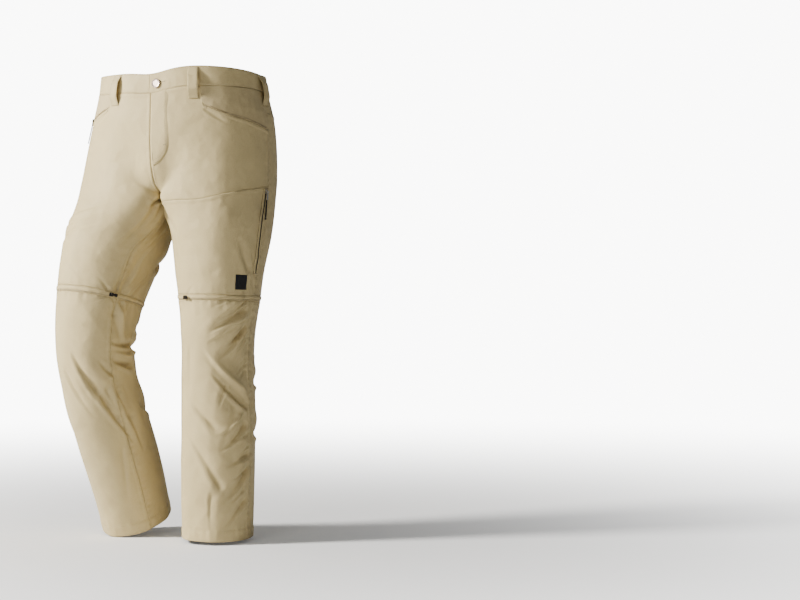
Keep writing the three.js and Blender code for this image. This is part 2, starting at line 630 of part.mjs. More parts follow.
function standOn(mesh, side, u, drop, out, turn = 0) {
  const normal = normalOf(foldedPoint, side, u, drop);
  const down = foldedPoint(side, u, drop + 2).sub(foldedPoint(side, u, drop - 2));
  const up = down.addScaledVector(normal, -down.dot(normal)).normalize().negate();
  const across = up.clone().cross(normal);
  mesh.quaternion.setFromRotationMatrix(new THREE.Matrix4().makeBasis(across, up, normal));
  mesh.rotateZ(turn);
  mesh.position.copy(clothPoint(side, u, drop, out));
}

function solidOf(geometry) {
  const bare = geometry.clone();
  bare.deleteAttribute('normal');
  bare.deleteAttribute('uv');
  const merged = mergeVertices(bare, 1e-4);
  return new manifold.Manifold(new manifold.Mesh({
    numProp: 3,
    vertProperties: new Float32Array(merged.attributes.position.array),
    triVerts: new Uint32Array(merged.index.array),
  }));
}

function geometryOf(solid) {
  const mesh = solid.getMesh();
  const geometry = new THREE.BufferGeometry();
  geometry.setAttribute('position', new THREE.BufferAttribute(mesh.vertProperties, 3));
  geometry.setIndex(new THREE.BufferAttribute(mesh.triVerts, 1));
  geometry.computeVertexNormals();
  return geometry;
}

function roundedPlate(width, length, depth, corner) {
  const x = width / 2 - corner;
  const y = length / 2 - corner;
  const outline = new THREE.Shape();
  outline.absarc(x, y, corner, 0, Math.PI / 2);
  outline.absarc(-x, y, corner, Math.PI / 2, Math.PI);
  outline.absarc(-x, -y, corner, Math.PI, 1.5 * Math.PI);
  outline.absarc(x, -y, corner, 1.5 * Math.PI, 2 * Math.PI);
  return new THREE.ExtrudeGeometry(outline, { depth, bevelEnabled: false, curveSegments: 3 });
}

function barAcross(radius, length, sides) {
  return new THREE.CylinderGeometry(radius, radius, length, sides).rotateZ(Math.PI / 2);
}

// The slider's body carries two lugs with a pin between them; without lugs a cord is tied to its loop
function sliderGeometry() {
  const { width, length, base, corner, post, lug, rise, pin } = SLIDER;
  const apart = width / 2 - lug / 2;
  const top = base + rise + pin + SEAM;
  let body = solidOf(roundedPlate(width, length, base, corner));
  for (const x of [-apart, apart]) {
    const lugBox = new THREE.BoxGeometry(lug, post, top - base / 2).translate(x, 0, (top + base / 2) / 2);
    body = body.add(solidOf(lugBox));
  }
  const bar = barAcross(pin, width - lug, 10).translate(0, 0, base + rise);
  return geometryOf(body.add(solidOf(bar)));
}

// The pull tab turns on the slider's pin and hangs down over the zip
function pullTabGeometry(length) {
  const { width, lug, pin, play } = SLIDER;
  const knuckle = width - 2 * lug - 2 * play;
  const eye = solidOf(barAcross(pin + play + TAB.eye, knuckle, 14));
  const neckBox = new THREE.BoxGeometry(knuckle, TAB.neck, TAB.thick).translate(0, -TAB.start - TAB.neck / 2, 0);
  const flat = length - TAB.neck;
  const blade = roundedPlate(width - lug, flat, TAB.thick, TAB.corner);
  blade.translate(0, -TAB.blade - flat / 2, -TAB.thick / 2);
  const hole = solidOf(barAcross(pin + play, width, 12));
  return geometryOf(eye.add(solidOf(neckBox)).add(solidOf(blade)).subtract(hole));
}

const pins = {};

function addPull(name, side, place, length, material) {
  const slider = addPiece(`${name}_slider`, sliderGeometry(), material);
  standOn(slider, side, place.u, place.drop, place.out, place.turn);
  const pull = addPiece(`${name}_pull_tab`, pullTabGeometry(length), material);
  pull.quaternion.copy(slider.quaternion);
  const pin = new THREE.Vector3(0, 0, SLIDER.base + SLIDER.rise);
  pull.position.copy(pin.applyQuaternion(slider.quaternion).add(slider.position));
  pins[name] = pull;
}

// A cord hangs along its points and ends in a knot
function addCord(name, points, radius) {
  const route = new THREE.CatmullRomCurve3(points, false, 'centripetal');
  const section = new THREE.Shape();
  for (let k = 0; k < CORD.sides; k += 1) {
    const angle = (2 * Math.PI * k) / CORD.sides;
    const [x, y] = [radius * Math.cos(angle), radius * Math.sin(angle)];
    if (k === 0) section.moveTo(x, y);
    else section.lineTo(x, y);
  }
  const count = Math.max(6, Math.round(route.getLength() / CORD.step));
  const options = { steps: count, extrudePath: route, bevelEnabled: false };
  addPiece(`${name}_cord`, new THREE.ExtrudeGeometry(section, options), MATERIALS.cord);
  const knot = new THREE.SphereGeometry(radius * CORD.knot, 10, 8);
  const mesh = addPiece(`${name}_knot`, solidGeometry(knot), MATERIALS.cord);
  const end = points[points.length - 1];
  const way = end.clone().sub(points[points.length - 2]).normalize();
  mesh.position.copy(end).addScaledVector(way, radius * CORD.knot + SEAM);
}

function solidGeometry(geometry) {
  return geometryOf(solidOf(geometry));
}

function addZipPulls() {
  const { u, drop } = CARGO_ZIP[0];
  const onTape = { u, drop: drop + CARGO_TAB.below, out: LIE + TAPE.cloth + SEAM, turn: 0 };
  addPull('cargo_zip', 'left', onTape, CARGO_TAB.length, MATERIALS.metal);
  const tip = pins.cargo_zip.localToWorld(new THREE.Vector3(0, -CARGO_TAB.length - TAB.tie, 0));
  const { falls, out, nearer, drift } = CARGO_CORD;
  const below = falls.map((fall, i) => clothPoint('left', u + drift * i, drop + fall, out - nearer * i));
  addCord('cargo_zip', [tip, ...below], CORD.radius);
  for (const side of ['left', 'right']) {
    const onBand = { u: KNEE_TAB[side], drop: ZIP_DROP, out: SEAM, turn: Math.PI / 2 };
    addPull(`knee_zip_${side}`, side, onBand, KNEE_TAB.length, MATERIALS.black);
  }
}

// A small slider with its cord tied to the side that faces down
function addCordPull(name, place, cord, material) {
  const { width, length, depth, corner, spread: apart } = CORD_SLIDER;
  const { u, drop, out } = place;
  const mesh = addPiece(`${name}_slider`, solidGeometry(roundedPlate(width, length, depth, corner)), material);
  standOn(mesh, 'right', u, drop, out, Math.PI / 2);
  const exit = mesh.localToWorld(new THREE.Vector3(-width / 2 - SEAM, 0, depth / 2));
  const hang = cord.falls.map((fall, i) => clothPoint('right', u, drop + fall, out + depth / 2 + apart * i));
  addCord(name, [exit, ...hang], cord.radius);
}

function addPocketCords() {
  addCordPull('hand_pocket', { u: HAND_CORD.u, drop: HAND_CORD.drop, out: LIE }, HAND_CORD, MATERIALS.black);
  const end = WELT[WELT.length - 1];
  const onWelt = { u: end.u + BACK_CORD.fromEnd, drop: end.drop - BACK_CORD.above, out: LIE + TAPE.cloth + SEAM };
  addCordPull('back_pocket', onWelt, BACK_CORD, MATERIALS.metal);
}

function addButton() {
  const { radius, height, stem, foot, bevel, rim, dish } = BUTTON;
  const shank = [[0, 0], [stem, 0], [stem, foot]];
  const edge = [[radius - bevel, foot], [radius, foot + dish], [radius, height - dish], [radius - bevel, height]];
  const face = [[radius - rim, height - dish], [0, height - dish]];
  const profile = [...shank, ...edge, ...face].map(([x, y]) => new THREE.Vector2(x, y));
  const shell = new THREE.LatheGeometry(profile, 24).rotateX(Math.PI / 2);
  const button = addPiece('waist_button', solidGeometry(shell), MATERIALS.button);
  standOn(button, 'left', BUTTON.u, BUTTON.drop, LIE);
}

addFronts();
addPocketFacings();
addBacks();
addLowerLegs();
addKneeZips();
addWaistband();
addFly();
addBeltLoops();
addTrims();
addZipPulls();
addPocketCords();
addButton();

export default garment;
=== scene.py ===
import math

import bmesh
import bpy
import numpy as np
from bpy.props import FloatProperty, FloatVectorProperty, IntProperty, PointerProperty
from mathutils import Matrix, Vector


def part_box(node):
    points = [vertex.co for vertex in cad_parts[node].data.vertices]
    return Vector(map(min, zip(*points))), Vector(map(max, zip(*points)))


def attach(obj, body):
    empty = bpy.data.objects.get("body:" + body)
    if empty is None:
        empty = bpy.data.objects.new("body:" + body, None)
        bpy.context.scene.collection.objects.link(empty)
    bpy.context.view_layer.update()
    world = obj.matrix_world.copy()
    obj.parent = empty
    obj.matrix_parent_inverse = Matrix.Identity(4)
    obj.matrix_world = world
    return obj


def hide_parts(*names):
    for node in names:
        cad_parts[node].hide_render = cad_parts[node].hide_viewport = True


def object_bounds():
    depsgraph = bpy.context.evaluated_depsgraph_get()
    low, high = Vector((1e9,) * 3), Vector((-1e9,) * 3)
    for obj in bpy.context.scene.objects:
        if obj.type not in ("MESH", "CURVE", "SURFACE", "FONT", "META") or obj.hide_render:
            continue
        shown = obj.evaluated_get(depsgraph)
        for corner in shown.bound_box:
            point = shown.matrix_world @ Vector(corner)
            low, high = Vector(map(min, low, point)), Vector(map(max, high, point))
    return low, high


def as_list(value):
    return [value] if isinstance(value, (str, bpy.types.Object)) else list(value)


bl_info = {
    "name": "Zip-off trousers",
    "version": (1, 0, 0),
    "blender": (4, 5, 0),
    "location": "3D View > Sidebar > Trousers",
    "description": "Cloth, seams, zips, cords and finishes of a worn pair of zip-off trousers",
    "category": "Object",
}

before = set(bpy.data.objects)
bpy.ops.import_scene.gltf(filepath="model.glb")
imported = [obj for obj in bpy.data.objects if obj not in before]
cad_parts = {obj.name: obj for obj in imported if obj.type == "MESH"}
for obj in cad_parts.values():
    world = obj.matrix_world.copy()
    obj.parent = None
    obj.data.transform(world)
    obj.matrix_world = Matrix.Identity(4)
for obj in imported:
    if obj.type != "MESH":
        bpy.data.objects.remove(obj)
CAD_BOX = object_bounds()
MM = 0.001

# Places on the cloth, as in the part: a side, a share u of the way round and a drop below the top edge in mm.
# u is 0 at the centre front and the inseam, 0.5 at the side seam and 1 at the centre back and the inseam.
SEAM = 0.3
BAND_TOP = 20
HIP_DROP = 140
CROTCH_DROP = 250
CROTCH_Y = -72
CROTCH_EASE = 1.4
CROTCH_SOFT = 30
ZIP_DROP = 466
ZIP_BAND = 11
HEM_DROP = {"left": 964, "right": 962}
LEG_TURN = {"left": 0, "right": 0.095}
GIRTH = 500
HIP_MIDDLE_Y = 6
HIP_SQUARE = 2.25
LEG_SQUARE = 2.15
POCKET_TOP_U = 0.226
POCKET_CORNER_U = 0.236
POCKET_LIFT = {"left": 0, "right": 10}
SETTLED = 150
# Folds are FOLD_GAIN times as deep as the part's, steeper on their upper side and gentler on their lower one
FOLD_GAIN, FOLD_LIP, FOLD_SLOPE = 1.6, 2.2, 0.8
FLY_EDGE, FLY_WIDTH, FLY_DROP, FLY_TOE, FLY_OVERLAP = 0.006, 0.09, 148, 175, 0.012
LOOP_WIDTH, LOOP_TOP, LOOP_BOTTOM, LOOP_BOW = 0.04, 3, 66, 7.6
ELASTIC_FROM, ELASTIC_TO = 0.53, 0.69
LABEL_LEFT, LABEL_RIGHT, LABEL_TOP, LABEL_BOTTOM = 0.388, 0.437, 421, 450
TAPE_HALF = 6
# Drops where the cargo zip and the back pocket's welt start and end
CARGO_FROM, CARGO_TO = 240, 418
CARGO_TACKS = (0.482, CARGO_FROM + 1), (0.483, CARGO_TO - 1)
WELT_FROM, WELT_TO = 100, 119
LIE = 0.5
INNER_SEAM = -1.0
# Thickness of the cloth, the knee flaps, the belt loops and the seam allowances
CLOTH, FLAP_CLOTH, LOOP_CLOTH, INNER_CLOTH = 0.9, 1.1, 1.3, 0.5
LOOP_OUT = LIE + 1.4
FLY_OUT = 1.8
THREAD_LIFT = 0.06
SIDES = ("left", "right")
# Middle of each pair of belt loops, in u
LOOPS = (("front", 0.201), ("side", 0.5), ("back", 0.722))

# drop, reach to the front, back, left and right
HIPS = [
    (0, 127, 118, 179, 183),
    (42, 131, 124, 186, 188),
    (90, 134, 138, 196, 200),
    (140, 135, 149, 199, 211),
    (190, 133, 153, 200, 221),
    (262, 122, 146, 200, 232),
    (340, 116, 136, 198, 236),
]
# drop, middle x, y, z, reach to the inseam, side, front and back
LEGS = {
    "left": [
        (100, 92, 8, -80, 92, 104, 122, 136),
        (200, 96, 0, -180, 96, 104, 122, 132),
        (263, 99, -8, -243, 99, 102, 116, 124),
        (336, 102, -20, -316, 97, 98, 108, 112),
        (400, 102, -28, -380, 89, 90, 96, 98),
        (470, 102, -31, -450, 80, 83, 87, 88),
        (560, 100, -30, -540, 73, 72, 80, 78),
        (640, 98, -26, -620, 73, 73, 79, 76),
        (740, 97, -22, -720, 75, 74, 79, 78),
        (860, 94, -20, -840, 74, 73, 78, 77),
        (964, 92, -18, -942, 71, 70, 75, 74),
    ],
    "right": [
        (100, -94, 0, -80, 94, 112, 124, 136),
        (200, -104, -22, -180, 104, 108, 124, 134),
        (263, -111, -40, -243, 111, 104, 118, 130),
        (336, -122, -64, -316, 104, 98, 112, 118),
        (400, -132, -86, -380, 94, 90, 104, 104),
        (470, -140, -105, -449, 86, 81, 95, 92),
        (560, -146, -114, -538, 78, 74, 88, 81),
        (640, -143, -100, -617, 73, 72, 82, 78),
        (740, -136, -64, -713, 74, 70, 80, 77),
        (860, -130, -16, -825, 73, 69, 78, 76),
        (962, -126, 20, -921, 70, 67, 75, 74),
    ],
}
POCKET_EDGE = [(0.236, 78), (0.3, 92), (0.4, 105), (0.5, 118)]
CARGO_SEAM = [(0, 270), (0.16, 267), (0.26, 266), (0.35, 251), (0.5, 235)]
CARGO_ZIP = [(240, 0.482), (270, 0.479), (310, 0.474), (360, 0.477), (418, 0.483)]
WELT = [(100, 0.885), (110, 0.75), (119, 0.655)]

# Folds: strong end, bend and tip as (u, drop), then half width and depth in mm; a minus depth is a ridge
FOLDS = {
    "left": [
        ((0.456, 489), (0.381, 506), (0.285, 536), 10, 7),
        ((0.469, 520), (0.415, 554), (0.335, 584), 11, 8),
        ((0.46, 657), (0.348, 616), (0.268, 562), 16, -6),
        ((0.475, 690), (0.389, 671), (0.3, 612), 12, 8),
        ((0.466, 721), (0.416, 751), (0.335, 776), 11, 7),
        ((0.491, 786), (0.435, 790), (0.36, 810), 11, 6),
        ((0.494, 810), (0.432, 845), (0.35, 884), 12, 7),
        ((0.485, 876), (0.415, 904), (0.35, 938), 11, 5),
        ((0.343, 855), (0.276, 797), (0.19, 745), 16, 4),
        ((0.32, 731), (0.253, 699), (0.17, 655), 16, 4),
        ((0.45, 418), (0.41, 389), (0.385, 350), 13, 3),
        ((0.02, 262), (0.09, 292), (0.17, 345), 13, 5),
        ((0.87, 571), (0.72, 600), (0.58, 580), 13, 9),
        ((0.89, 514), (0.84, 542), (0.76, 558), 12, 6),
        ((0.56, 640), (0.64, 655), (0.78, 636), 12, 6),
        ((0.88, 640), (0.8, 690), (0.7, 722), 13, 6),
        ((0.54, 742), (0.62, 760), (0.74, 742), 13, 5),
        ((0.9, 800), (0.82, 846), (0.72, 872), 14, 5),
        ((0.955, 220), (0.95, 178), (0.91, 140), 14, 4),
        ((0.95, 268), (0.86, 300), (0.74, 316), 15, 6),
    ],
    "right": [
        ((0.05, 262), (0.062, 300), (0.045, 372), 13, 6),
        ((0.286, 343), (0.26, 320), (0.215, 292), 14, 3),
        ((0.3, 372), (0.25, 345), (0.17, 322), 14, 3),
        ((0.99, 462), (0.962, 405), (0.94, 320), 11, 6),
        ((0.985, 485), (0.955, 518), (0.93, 565), 16, -6),
        ((0.865, 568), (0.94, 568), (1.0, 556), 9, 8),
        ((0.87, 620), (0.945, 607), (1.0, 590), 10, 9),
        ((0.07, 650), (0.12, 608), (0.158, 568), 12, 7),
        ((0.065, 650), (0.035, 690), (-0.02, 765), 11, 7),
        ((-0.03, 700), (-0.05, 740), (-0.06, 800), 12, 4),
        ((0.86, 572), (0.72, 602), (0.58, 576), 13, 9),
        ((0.82, 524), (0.7, 540), (0.6, 520), 12, 6),
        ((0.56, 640), (0.64, 662), (0.8, 646), 13, 7),
        ((0.88, 700), (0.8, 740), (0.68, 760), 14, 5),
        ((0.55, 790), (0.64, 812), (0.76, 800), 14, 5),
        ((0.42, 640), (0.34, 700), (0.25, 742), 15, 4),
        ((0.955, 222), (0.95, 182), (0.91, 145), 14, 4),
        ((0.95, 270), (0.86, 302), (0.74, 318), 15, 6),
        ((0.84, 392), (0.79, 372), (0.69, 356), 14, 5),
    ],
}
# Finer creases that only the cloth's own surface carries
CREASES = {
    "left": [
        ((0.46, 500), (0.387, 518), (0.273, 557), 7, -3),
        ((0.492, 681), (0.425, 654), (0.364, 621), 6, -3),
        ((0.44, 697), (0.397, 726), (0.31, 745), 8, -3.5),
        ((0.47, 545), (0.44, 566), (0.395, 592), 6, 2.5),
        ((0.48, 598), (0.45, 607), (0.4, 622), 4, 2.2),
        ((0.48, 611), (0.455, 620), (0.41, 634), 4, 2),
        ((0.475, 585), (0.46, 590), (0.43, 600), 3.5, 1.6),
        ((0.2, 463), (0.215, 452), (0.24, 440), 4, 1.2),
        ((0.2, 471), (0.22, 482), (0.25, 492), 4, 1.2),
        ((0.35, 472), (0.33, 480), (0.29, 490), 5, 1.2),
        ((0.42, 474), (0.4, 486), (0.36, 497), 5, 1.6),
        ((0.02, 266), (0.03, 300), (0.06, 350), 7, 3),
        ((0.47, 400), (0.452, 388), (0.44, 360), 7, 2),
        ((0.43, 540), (0.4, 553), (0.36, 561), 6, 5),
        ((0.45, 470), (0.4, 492), (0.33, 508), 6, 4.5),
        ((0.37, 640), (0.35, 655), (0.33, 690), 7, 3),
        ((0.41, 705), (0.37, 720), (0.35, 760), 7, 3),
        ((0.47, 745), (0.43, 752), (0.38, 756), 6, 3),
        ((0.48, 765), (0.45, 776), (0.41, 790), 5, 2.4),
        ((0.47, 822), (0.42, 826), (0.38, 838), 6, 3),
        ((0.46, 856), (0.42, 870), (0.37, 886), 6, 2.6),
        ((0.2, 560), (0.19, 610), (0.2, 660), 9, 1.6),
        ((0.3, 860), (0.29, 900), (0.3, 940), 8, 2),
        ((0.13, 300), (0.16, 350), (0.17, 420), 10, 1.6),
        ((0.24, 86), (0.27, 100), (0.33, 118), 7, 1.4),
    ],
    "right": [
        ((0.877, 594), (0.94, 586), (1.0, 576), 5, -3),
        ((-0.004, 622), (0.03, 612), (0.055, 584), 6, 4),
        ((0.975, 463), (0.959, 438), (0.925, 400), 5, 3),
        ((0.94, 462), (0.912, 438), (0.875, 408), 5, 3),
        ((0.01, 462), (0.003, 439), (0.005, 402), 5, 2.5),
        ((0.04, 462), (0.055, 450), (0.085, 440), 4, 1.6),
        ((0.99, 472), (0.975, 488), (0.95, 505), 5, 2.6),
        ((0.015, 472), (0.005, 486), (-0.002, 512), 4.5, 2.2),
        ((0.045, 472), (0.065, 481), (0.1, 488), 4, 1.2),
        ((0.0, 650), (-0.02, 672), (-0.03, 715), 6, 2.4),
        ((0.965, 285), (0.97, 330), (0.975, 400), 9, 4),
        ((0.997, 257), (0.984, 276), (0.972, 322), 8, 11),
        ((0.008, 259), (0.04, 264), (0.08, 284), 6, 9),
        ((0.006, 258), (0.03, 285), (0.025, 330), 6, 5),
        ((0.35, 300), (0.27, 296), (0.2, 268), 9, 2),
        ((0.38, 340), (0.32, 328), (0.24, 305), 8, 2),
        ((0.2, 600), (0.17, 640), (0.1, 690), 8, 2.6),
        ((0.04, 640), (0.03, 660), (0.01, 690), 5, 3),
        ((0.03, 760), (0.05, 820), (0.07, 890), 9, 2),
        ((0.25, 380), (0.2, 420), (0.12, 455), 8, 1.6),
        ((0.24, 76), (0.28, 92), (0.34, 112), 7, 1.4),
    ],
}


# Curves and the form of the cloth


def smooth(share):
    t = np.clip(share, 0.0, 1.0)
    return t * t * (3 - 2 * t)


def bell(distance, width):
    """1 at no distance, and near 0 from twice the width on."""
    return np.exp(-((distance / width) ** 2))


def curve_through(rows):
    """A smooth curve through rows of (where, value)."""
    xs, ys = np.array(rows, float).T
    gaps = np.diff(xs)
    rise = np.diff(ys) / gaps
    slope = np.empty(len(xs))
    slope[0], slope[-1] = rise[0], rise[-1]
    slope[1:-1] = (rise[:-1] * gaps[1:] + rise[1:] * gaps[:-1]) / (gaps[:-1] + gaps[1:])

    def at(where):
        x = np.clip(where, xs[0], xs[-1])
        i = np.clip(np.searchsorted(xs, x, side="right") - 1, 0, len(xs) - 2)
        h = gaps[i]
        t = (x - xs[i]) / h
        t2, t3 = t * t, t * t * t
        ends = (2 * t3 - 3 * t2 + 1) * ys[i] + (3 * t2 - 2 * t3) * ys[i + 1]
        return ends + (t3 - 2 * t2 + t) * h * slope[i] + (t3 - t2) * h * slope[i + 1]

    return at


def columns_of(rows, names):
    return {name: curve_through([(row[0], row[k + 1]) for row in rows]) for k, name in enumerate(names)}


hips = columns_of(HIPS, ["front", "back", "left", "right"])
legs = {side: columns_of(LEGS[side], ["x", "y", "z", "inner", "outer", "front", "back"]) for side in LEGS}
pocket_edge = curve_through(POCKET_EDGE)
cargo_seam = curve_through(CARGO_SEAM)
cargo_zip = curve_through(CARGO_ZIP)
welt = curve_through(WELT)


def waist_seam(u):
    front = 41 - 6 * smooth((u - 0.2) / 0.3)
    return np.where(u < 0.5, front, 35 + 3 * smooth((u - 0.5) / 0.5))


def yoke_seam(u):
    return 80 + 28 * (u - 0.5)


def sign_of(side):
    return 1 if side == "left" else -1


def oval_reach(along, across, depth, width, square):
    return ((np.abs(along) / depth) ** square + (np.abs(across) / width) ** square) ** (-1 / square)


def waist_lift(angle, drop):
    front = np.where(np.cos(angle) > 0, 8 * np.sin(2 * angle), 0)
    dip = 9 * bell(angle, math.radians(20))
    return (1 - smooth(drop / 240)) * (2 - 5 * np.sin(angle) + front - dip)


def hip_point(side, u, drop):
    sign = sign_of(side)
    angle = math.pi * u
    depth = np.where(np.cos(angle) > 0, hips["front"](drop) + HIP_MIDDLE_Y, hips["back"](drop) - HIP_MIDDLE_Y)
    reach = oval_reach(np.cos(angle), np.sin(angle), depth, hips[side](drop), HIP_SQUARE)
    x = sign * reach * np.sin(angle)
    y = HIP_MIDDLE_Y - reach * np.cos(angle)
    z = BAND_TOP - drop + waist_lift(sign * angle, drop)
    return np.stack([x, y, z], -1)


def leg_point(side, u, drop):
    leg = legs[side]
    angle = 2 * math.pi * (u + LEG_TURN[side] * smooth((drop - 264) / 120))
    width = np.where(np.cos(angle) > 0, leg["inner"](drop), leg["outer"](drop))
    depth = np.where(np.sin(angle) > 0, leg["front"](drop), leg["back"](drop))
    reach = oval_reach(np.sin(angle), np.cos(angle), depth, width, LEG_SQUARE)
    dx = -sign_of(side) * reach * np.cos(angle)
    dy = -reach * np.sin(angle)
    fall = leg["z"](drop - 8) - leg["z"](drop + 8)
    fall = np.where(fall == 0, 1, fall)
    lean_x = (leg["x"](drop + 8) - leg["x"](drop - 8)) / fall
    lean_y = (leg["y"](drop + 8) - leg["y"](drop - 8)) / fall
    square = smooth((drop - 200) / 320)
    z = leg["z"](drop) + square * (lean_x * dx + lean_y * dy)
    return np.stack([leg["x"](drop) + dx, leg["y"](drop) + dy, z], -1)


def plain_point(side, u, drop):
    """Half a ring of the hips turns into a whole ring of the leg; its ends run along the crotch seam."""
    u, drop = np.broadcast_arrays(np.asarray(u, float), np.asarray(drop, float))
    hip = hip_point(side, u, drop)
    rise = CROTCH_DROP - HIP_DROP
    soft = 0.5 + CROTCH_SOFT * smooth(np.abs(u - np.rint(u)) / 0.07)
    past = np.clip(drop - CROTCH_DROP, -soft, soft) - soft
    to_crotch = np.where(drop < CROTCH_DROP - soft, drop - CROTCH_DROP, -(past**2) / (4 * soft))
    along = np.clip(1 + to_crotch / rise, 0, 1)
    turn = (math.pi / 2) * along**CROTCH_EASE / (along**CROTCH_EASE + (1 - along) ** CROTCH_EASE)
    end = 1 - np.clip(np.cos(turn), 0, 1) ** (1 / CROTCH_EASE)
    near = np.abs(np.cos(math.pi * u)) ** 10
    share = near * end + (1 - near) * smooth((drop - 90) / 260)
    point = hip + (leg_point(side, u, drop) - hip) * share[..., None]
    held = end * (1 - smooth((drop - CROTCH_DROP) / 110))
    point[..., 1] += near * held * (CROTCH_Y - legs[side]["y"](drop))
    point[..., 2] += near * rise * (along - np.sin(turn) ** (1 / CROTCH_EASE))
    return point


def outward(side, u, drop):
    """The unit vector that points out of the smooth form."""
    across = plain_point(side, u + 0.002, drop) - plain_point(side, u - 0.002, drop)
    down = plain_point(side, u, drop + 1) - plain_point(side, u, drop - 1)
    way = np.cross(down, across) * sign_of(side)
    return way / np.linalg.norm(way, axis=-1, keepdims=True)


def fold_path(start, bend, end):
    t = np.linspace(0, 1, 9)[:, None]
    points = (1 - t) ** 2 * np.array(start) + 2 * t * (1 - t) * np.array(bend) + t * t * np.array(end)
    return points * (GIRTH, 1)


def nearest_on_path(path, x, y):
    """The distance to the path, negative below it, and the share of the way along."""
    best, share, above = np.full(x.shape, np.inf), np.zeros(x.shape), np.zeros(x.shape)
    chord = path[-1] - path[0]
    upward = 1 if chord[0] < 0 else -1
    for i, (a, b) in enumerate(zip(path[:-1], path[1:])):
        way = b - a
        t = np.clip(((x - a[0]) * way[0] + (y - a[1]) * way[1]) / (way @ way), 0, 1)
        distance = np.hypot(x - a[0] - t * way[0], y - a[1] - t * way[1])
        nearer = distance < best
        best = np.where(nearer, distance, best)
        above = np.where(nearer, upward * np.sign((x - a[0]) * way[1] - (y - a[1]) * way[0]), above)
        share = np.where(nearer, (i + t) / (len(path) - 1), share)
    return np.where(above < 0, -best, best), share


def fold_rise(side, u, drop):
    """How far the folds and creases lift or sink the cloth."""
    rise = np.zeros(u.shape)
    for start, bend, end, width, depth in FOLDS[side] + CREASES[side]:
        path = fold_path(start, bend, end)
        turns = np.where(drop > CROTCH_DROP, np.rint(path[4, 0] / GIRTH - u), 0)
        x = (u + turns) * GIRTH
        low, high = path.min(0) - 4 * width, path.max(0) + 4 * width
        near = (x > low[0]) & (x < high[0]) & (drop > low[1]) & (drop < high[1])
        if not near.any():
            continue
        distance, share = nearest_on_path(path, x[near], drop[near])
        wide = width * (1 - 0.5 * share)
        fade = (0.35 + 0.65 * smooth(share / 0.18)) * (1 - share) ** 0.8 * smooth(share / 0.04 + 0.4)
        near_line = np.abs(distance) / wide * np.where(distance > 0, FOLD_LIP, FOLD_SLOPE)
        dip = 0.5 * np.exp(-(near_line**2)) + 0.5 * np.exp(-((2.3 * near_line) ** 2))
        brim = 0.34 * np.exp(-((near_line - 1.9) ** 2))
        rise[near] -= FOLD_GAIN * depth * fade * (dip - brim)
    return rise


def ripple(where, wave, seed):
    """An uneven run of small waves along a line, from -1 to 1."""
    dice = np.random.default_rng(seed)
    knots = np.arange(0, 1200, wave / 2)
    heights = dice.uniform(0.15, 1.0, len(knots)) * np.where(np.arange(len(knots)) % 2, 1, -1)
    shifted = knots + dice.uniform(-0.16, 0.16, len(knots)) * wave
    t = np.interp(where + 100, shifted, np.arange(len(knots)))
    i = np.clip(np.floor(t).astype(int), 0, len(knots) - 2)
    return heights[i] + (heights[i + 1] - heights[i]) * smooth(t - i)


def crumple(side, u, drop):
    """Slow unevenness of worn cloth."""
    x = u * GIRTH + (0 if side == "left" else 700)
    waves = 0.5 * np.sin(x / 31 + drop / 57) + 0.4 * np.sin(x / 19 - drop / 43 + 1.3)
    waves = waves + 0.3 * np.sin(x / 53 + drop / 17 + 0.7) * np.sin(drop / 71)
    patch = smooth(0.5 + 0.9 * np.sin(x / 47 + 1.9) * np.sin(drop / 61 + x / 90))
    creased = 1 - np.abs(np.sin(x / 24 + drop / 29 + 1.6 * np.sin(drop / 83 + x / 64)))
    return waves + 0.9 * patch * creased**2


def cloth_point(side, u, drop, out=0.0):
    """A place on the cloth in mm, moved out from its surface."""
    u, drop = np.broadcast_arrays(np.asarray(u, float), np.asarray(drop, float))
    lift = fold_rise(side, u, drop) + out
    point = plain_point(side, u, drop) + outward(side, u, drop) * lift[..., None]
    sign = sign_of(side)
    point[..., 0] = np.where(u >= 0, sign * np.maximum(sign * point[..., 0], SEAM / 2), point[..., 0])
    return point


# Meshes


def put_in_scene(name, data):
    thing = bpy.data.objects.new(name, data)
    bpy.context.scene.collection.objects.link(thing)
    return thing


def mesh_of(name, bm):
    mesh = bpy.data.meshes.new(name)
    bm.to_mesh(mesh)
    bm.free()
    return mesh


def link(name, mesh, finish, slot):
    piece = put_in_scene(name, mesh)
    mesh.materials.append(bpy.data.materials[finish])
    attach(piece, "root")
    return piece


def add_wall(piece, thickness):
    """Give a sheet its thickness in mm, inwards from its face."""
    wall = piece.modifiers.new("wall", "SOLIDIFY")
    wall.thickness = thickness * MM
    wall.offset = -1


def weld(mesh, distance, closed=False):
    """Join the points that meet, and cap the ends of a tube."""
    bm = bmesh.new()
    bm.from_mesh(mesh)
    bmesh.ops.remove_doubles(bm, verts=bm.verts, dist=distance)
    if closed:
        bmesh.ops.holes_fill(bm, edges=[edge for edge in bm.edges if edge.is_boundary], sides=0)
        bmesh.ops.recalc_face_normals(bm, faces=bm.faces)
    bm.to_mesh(mesh)
    bm.free()
    mesh.shade_smooth()


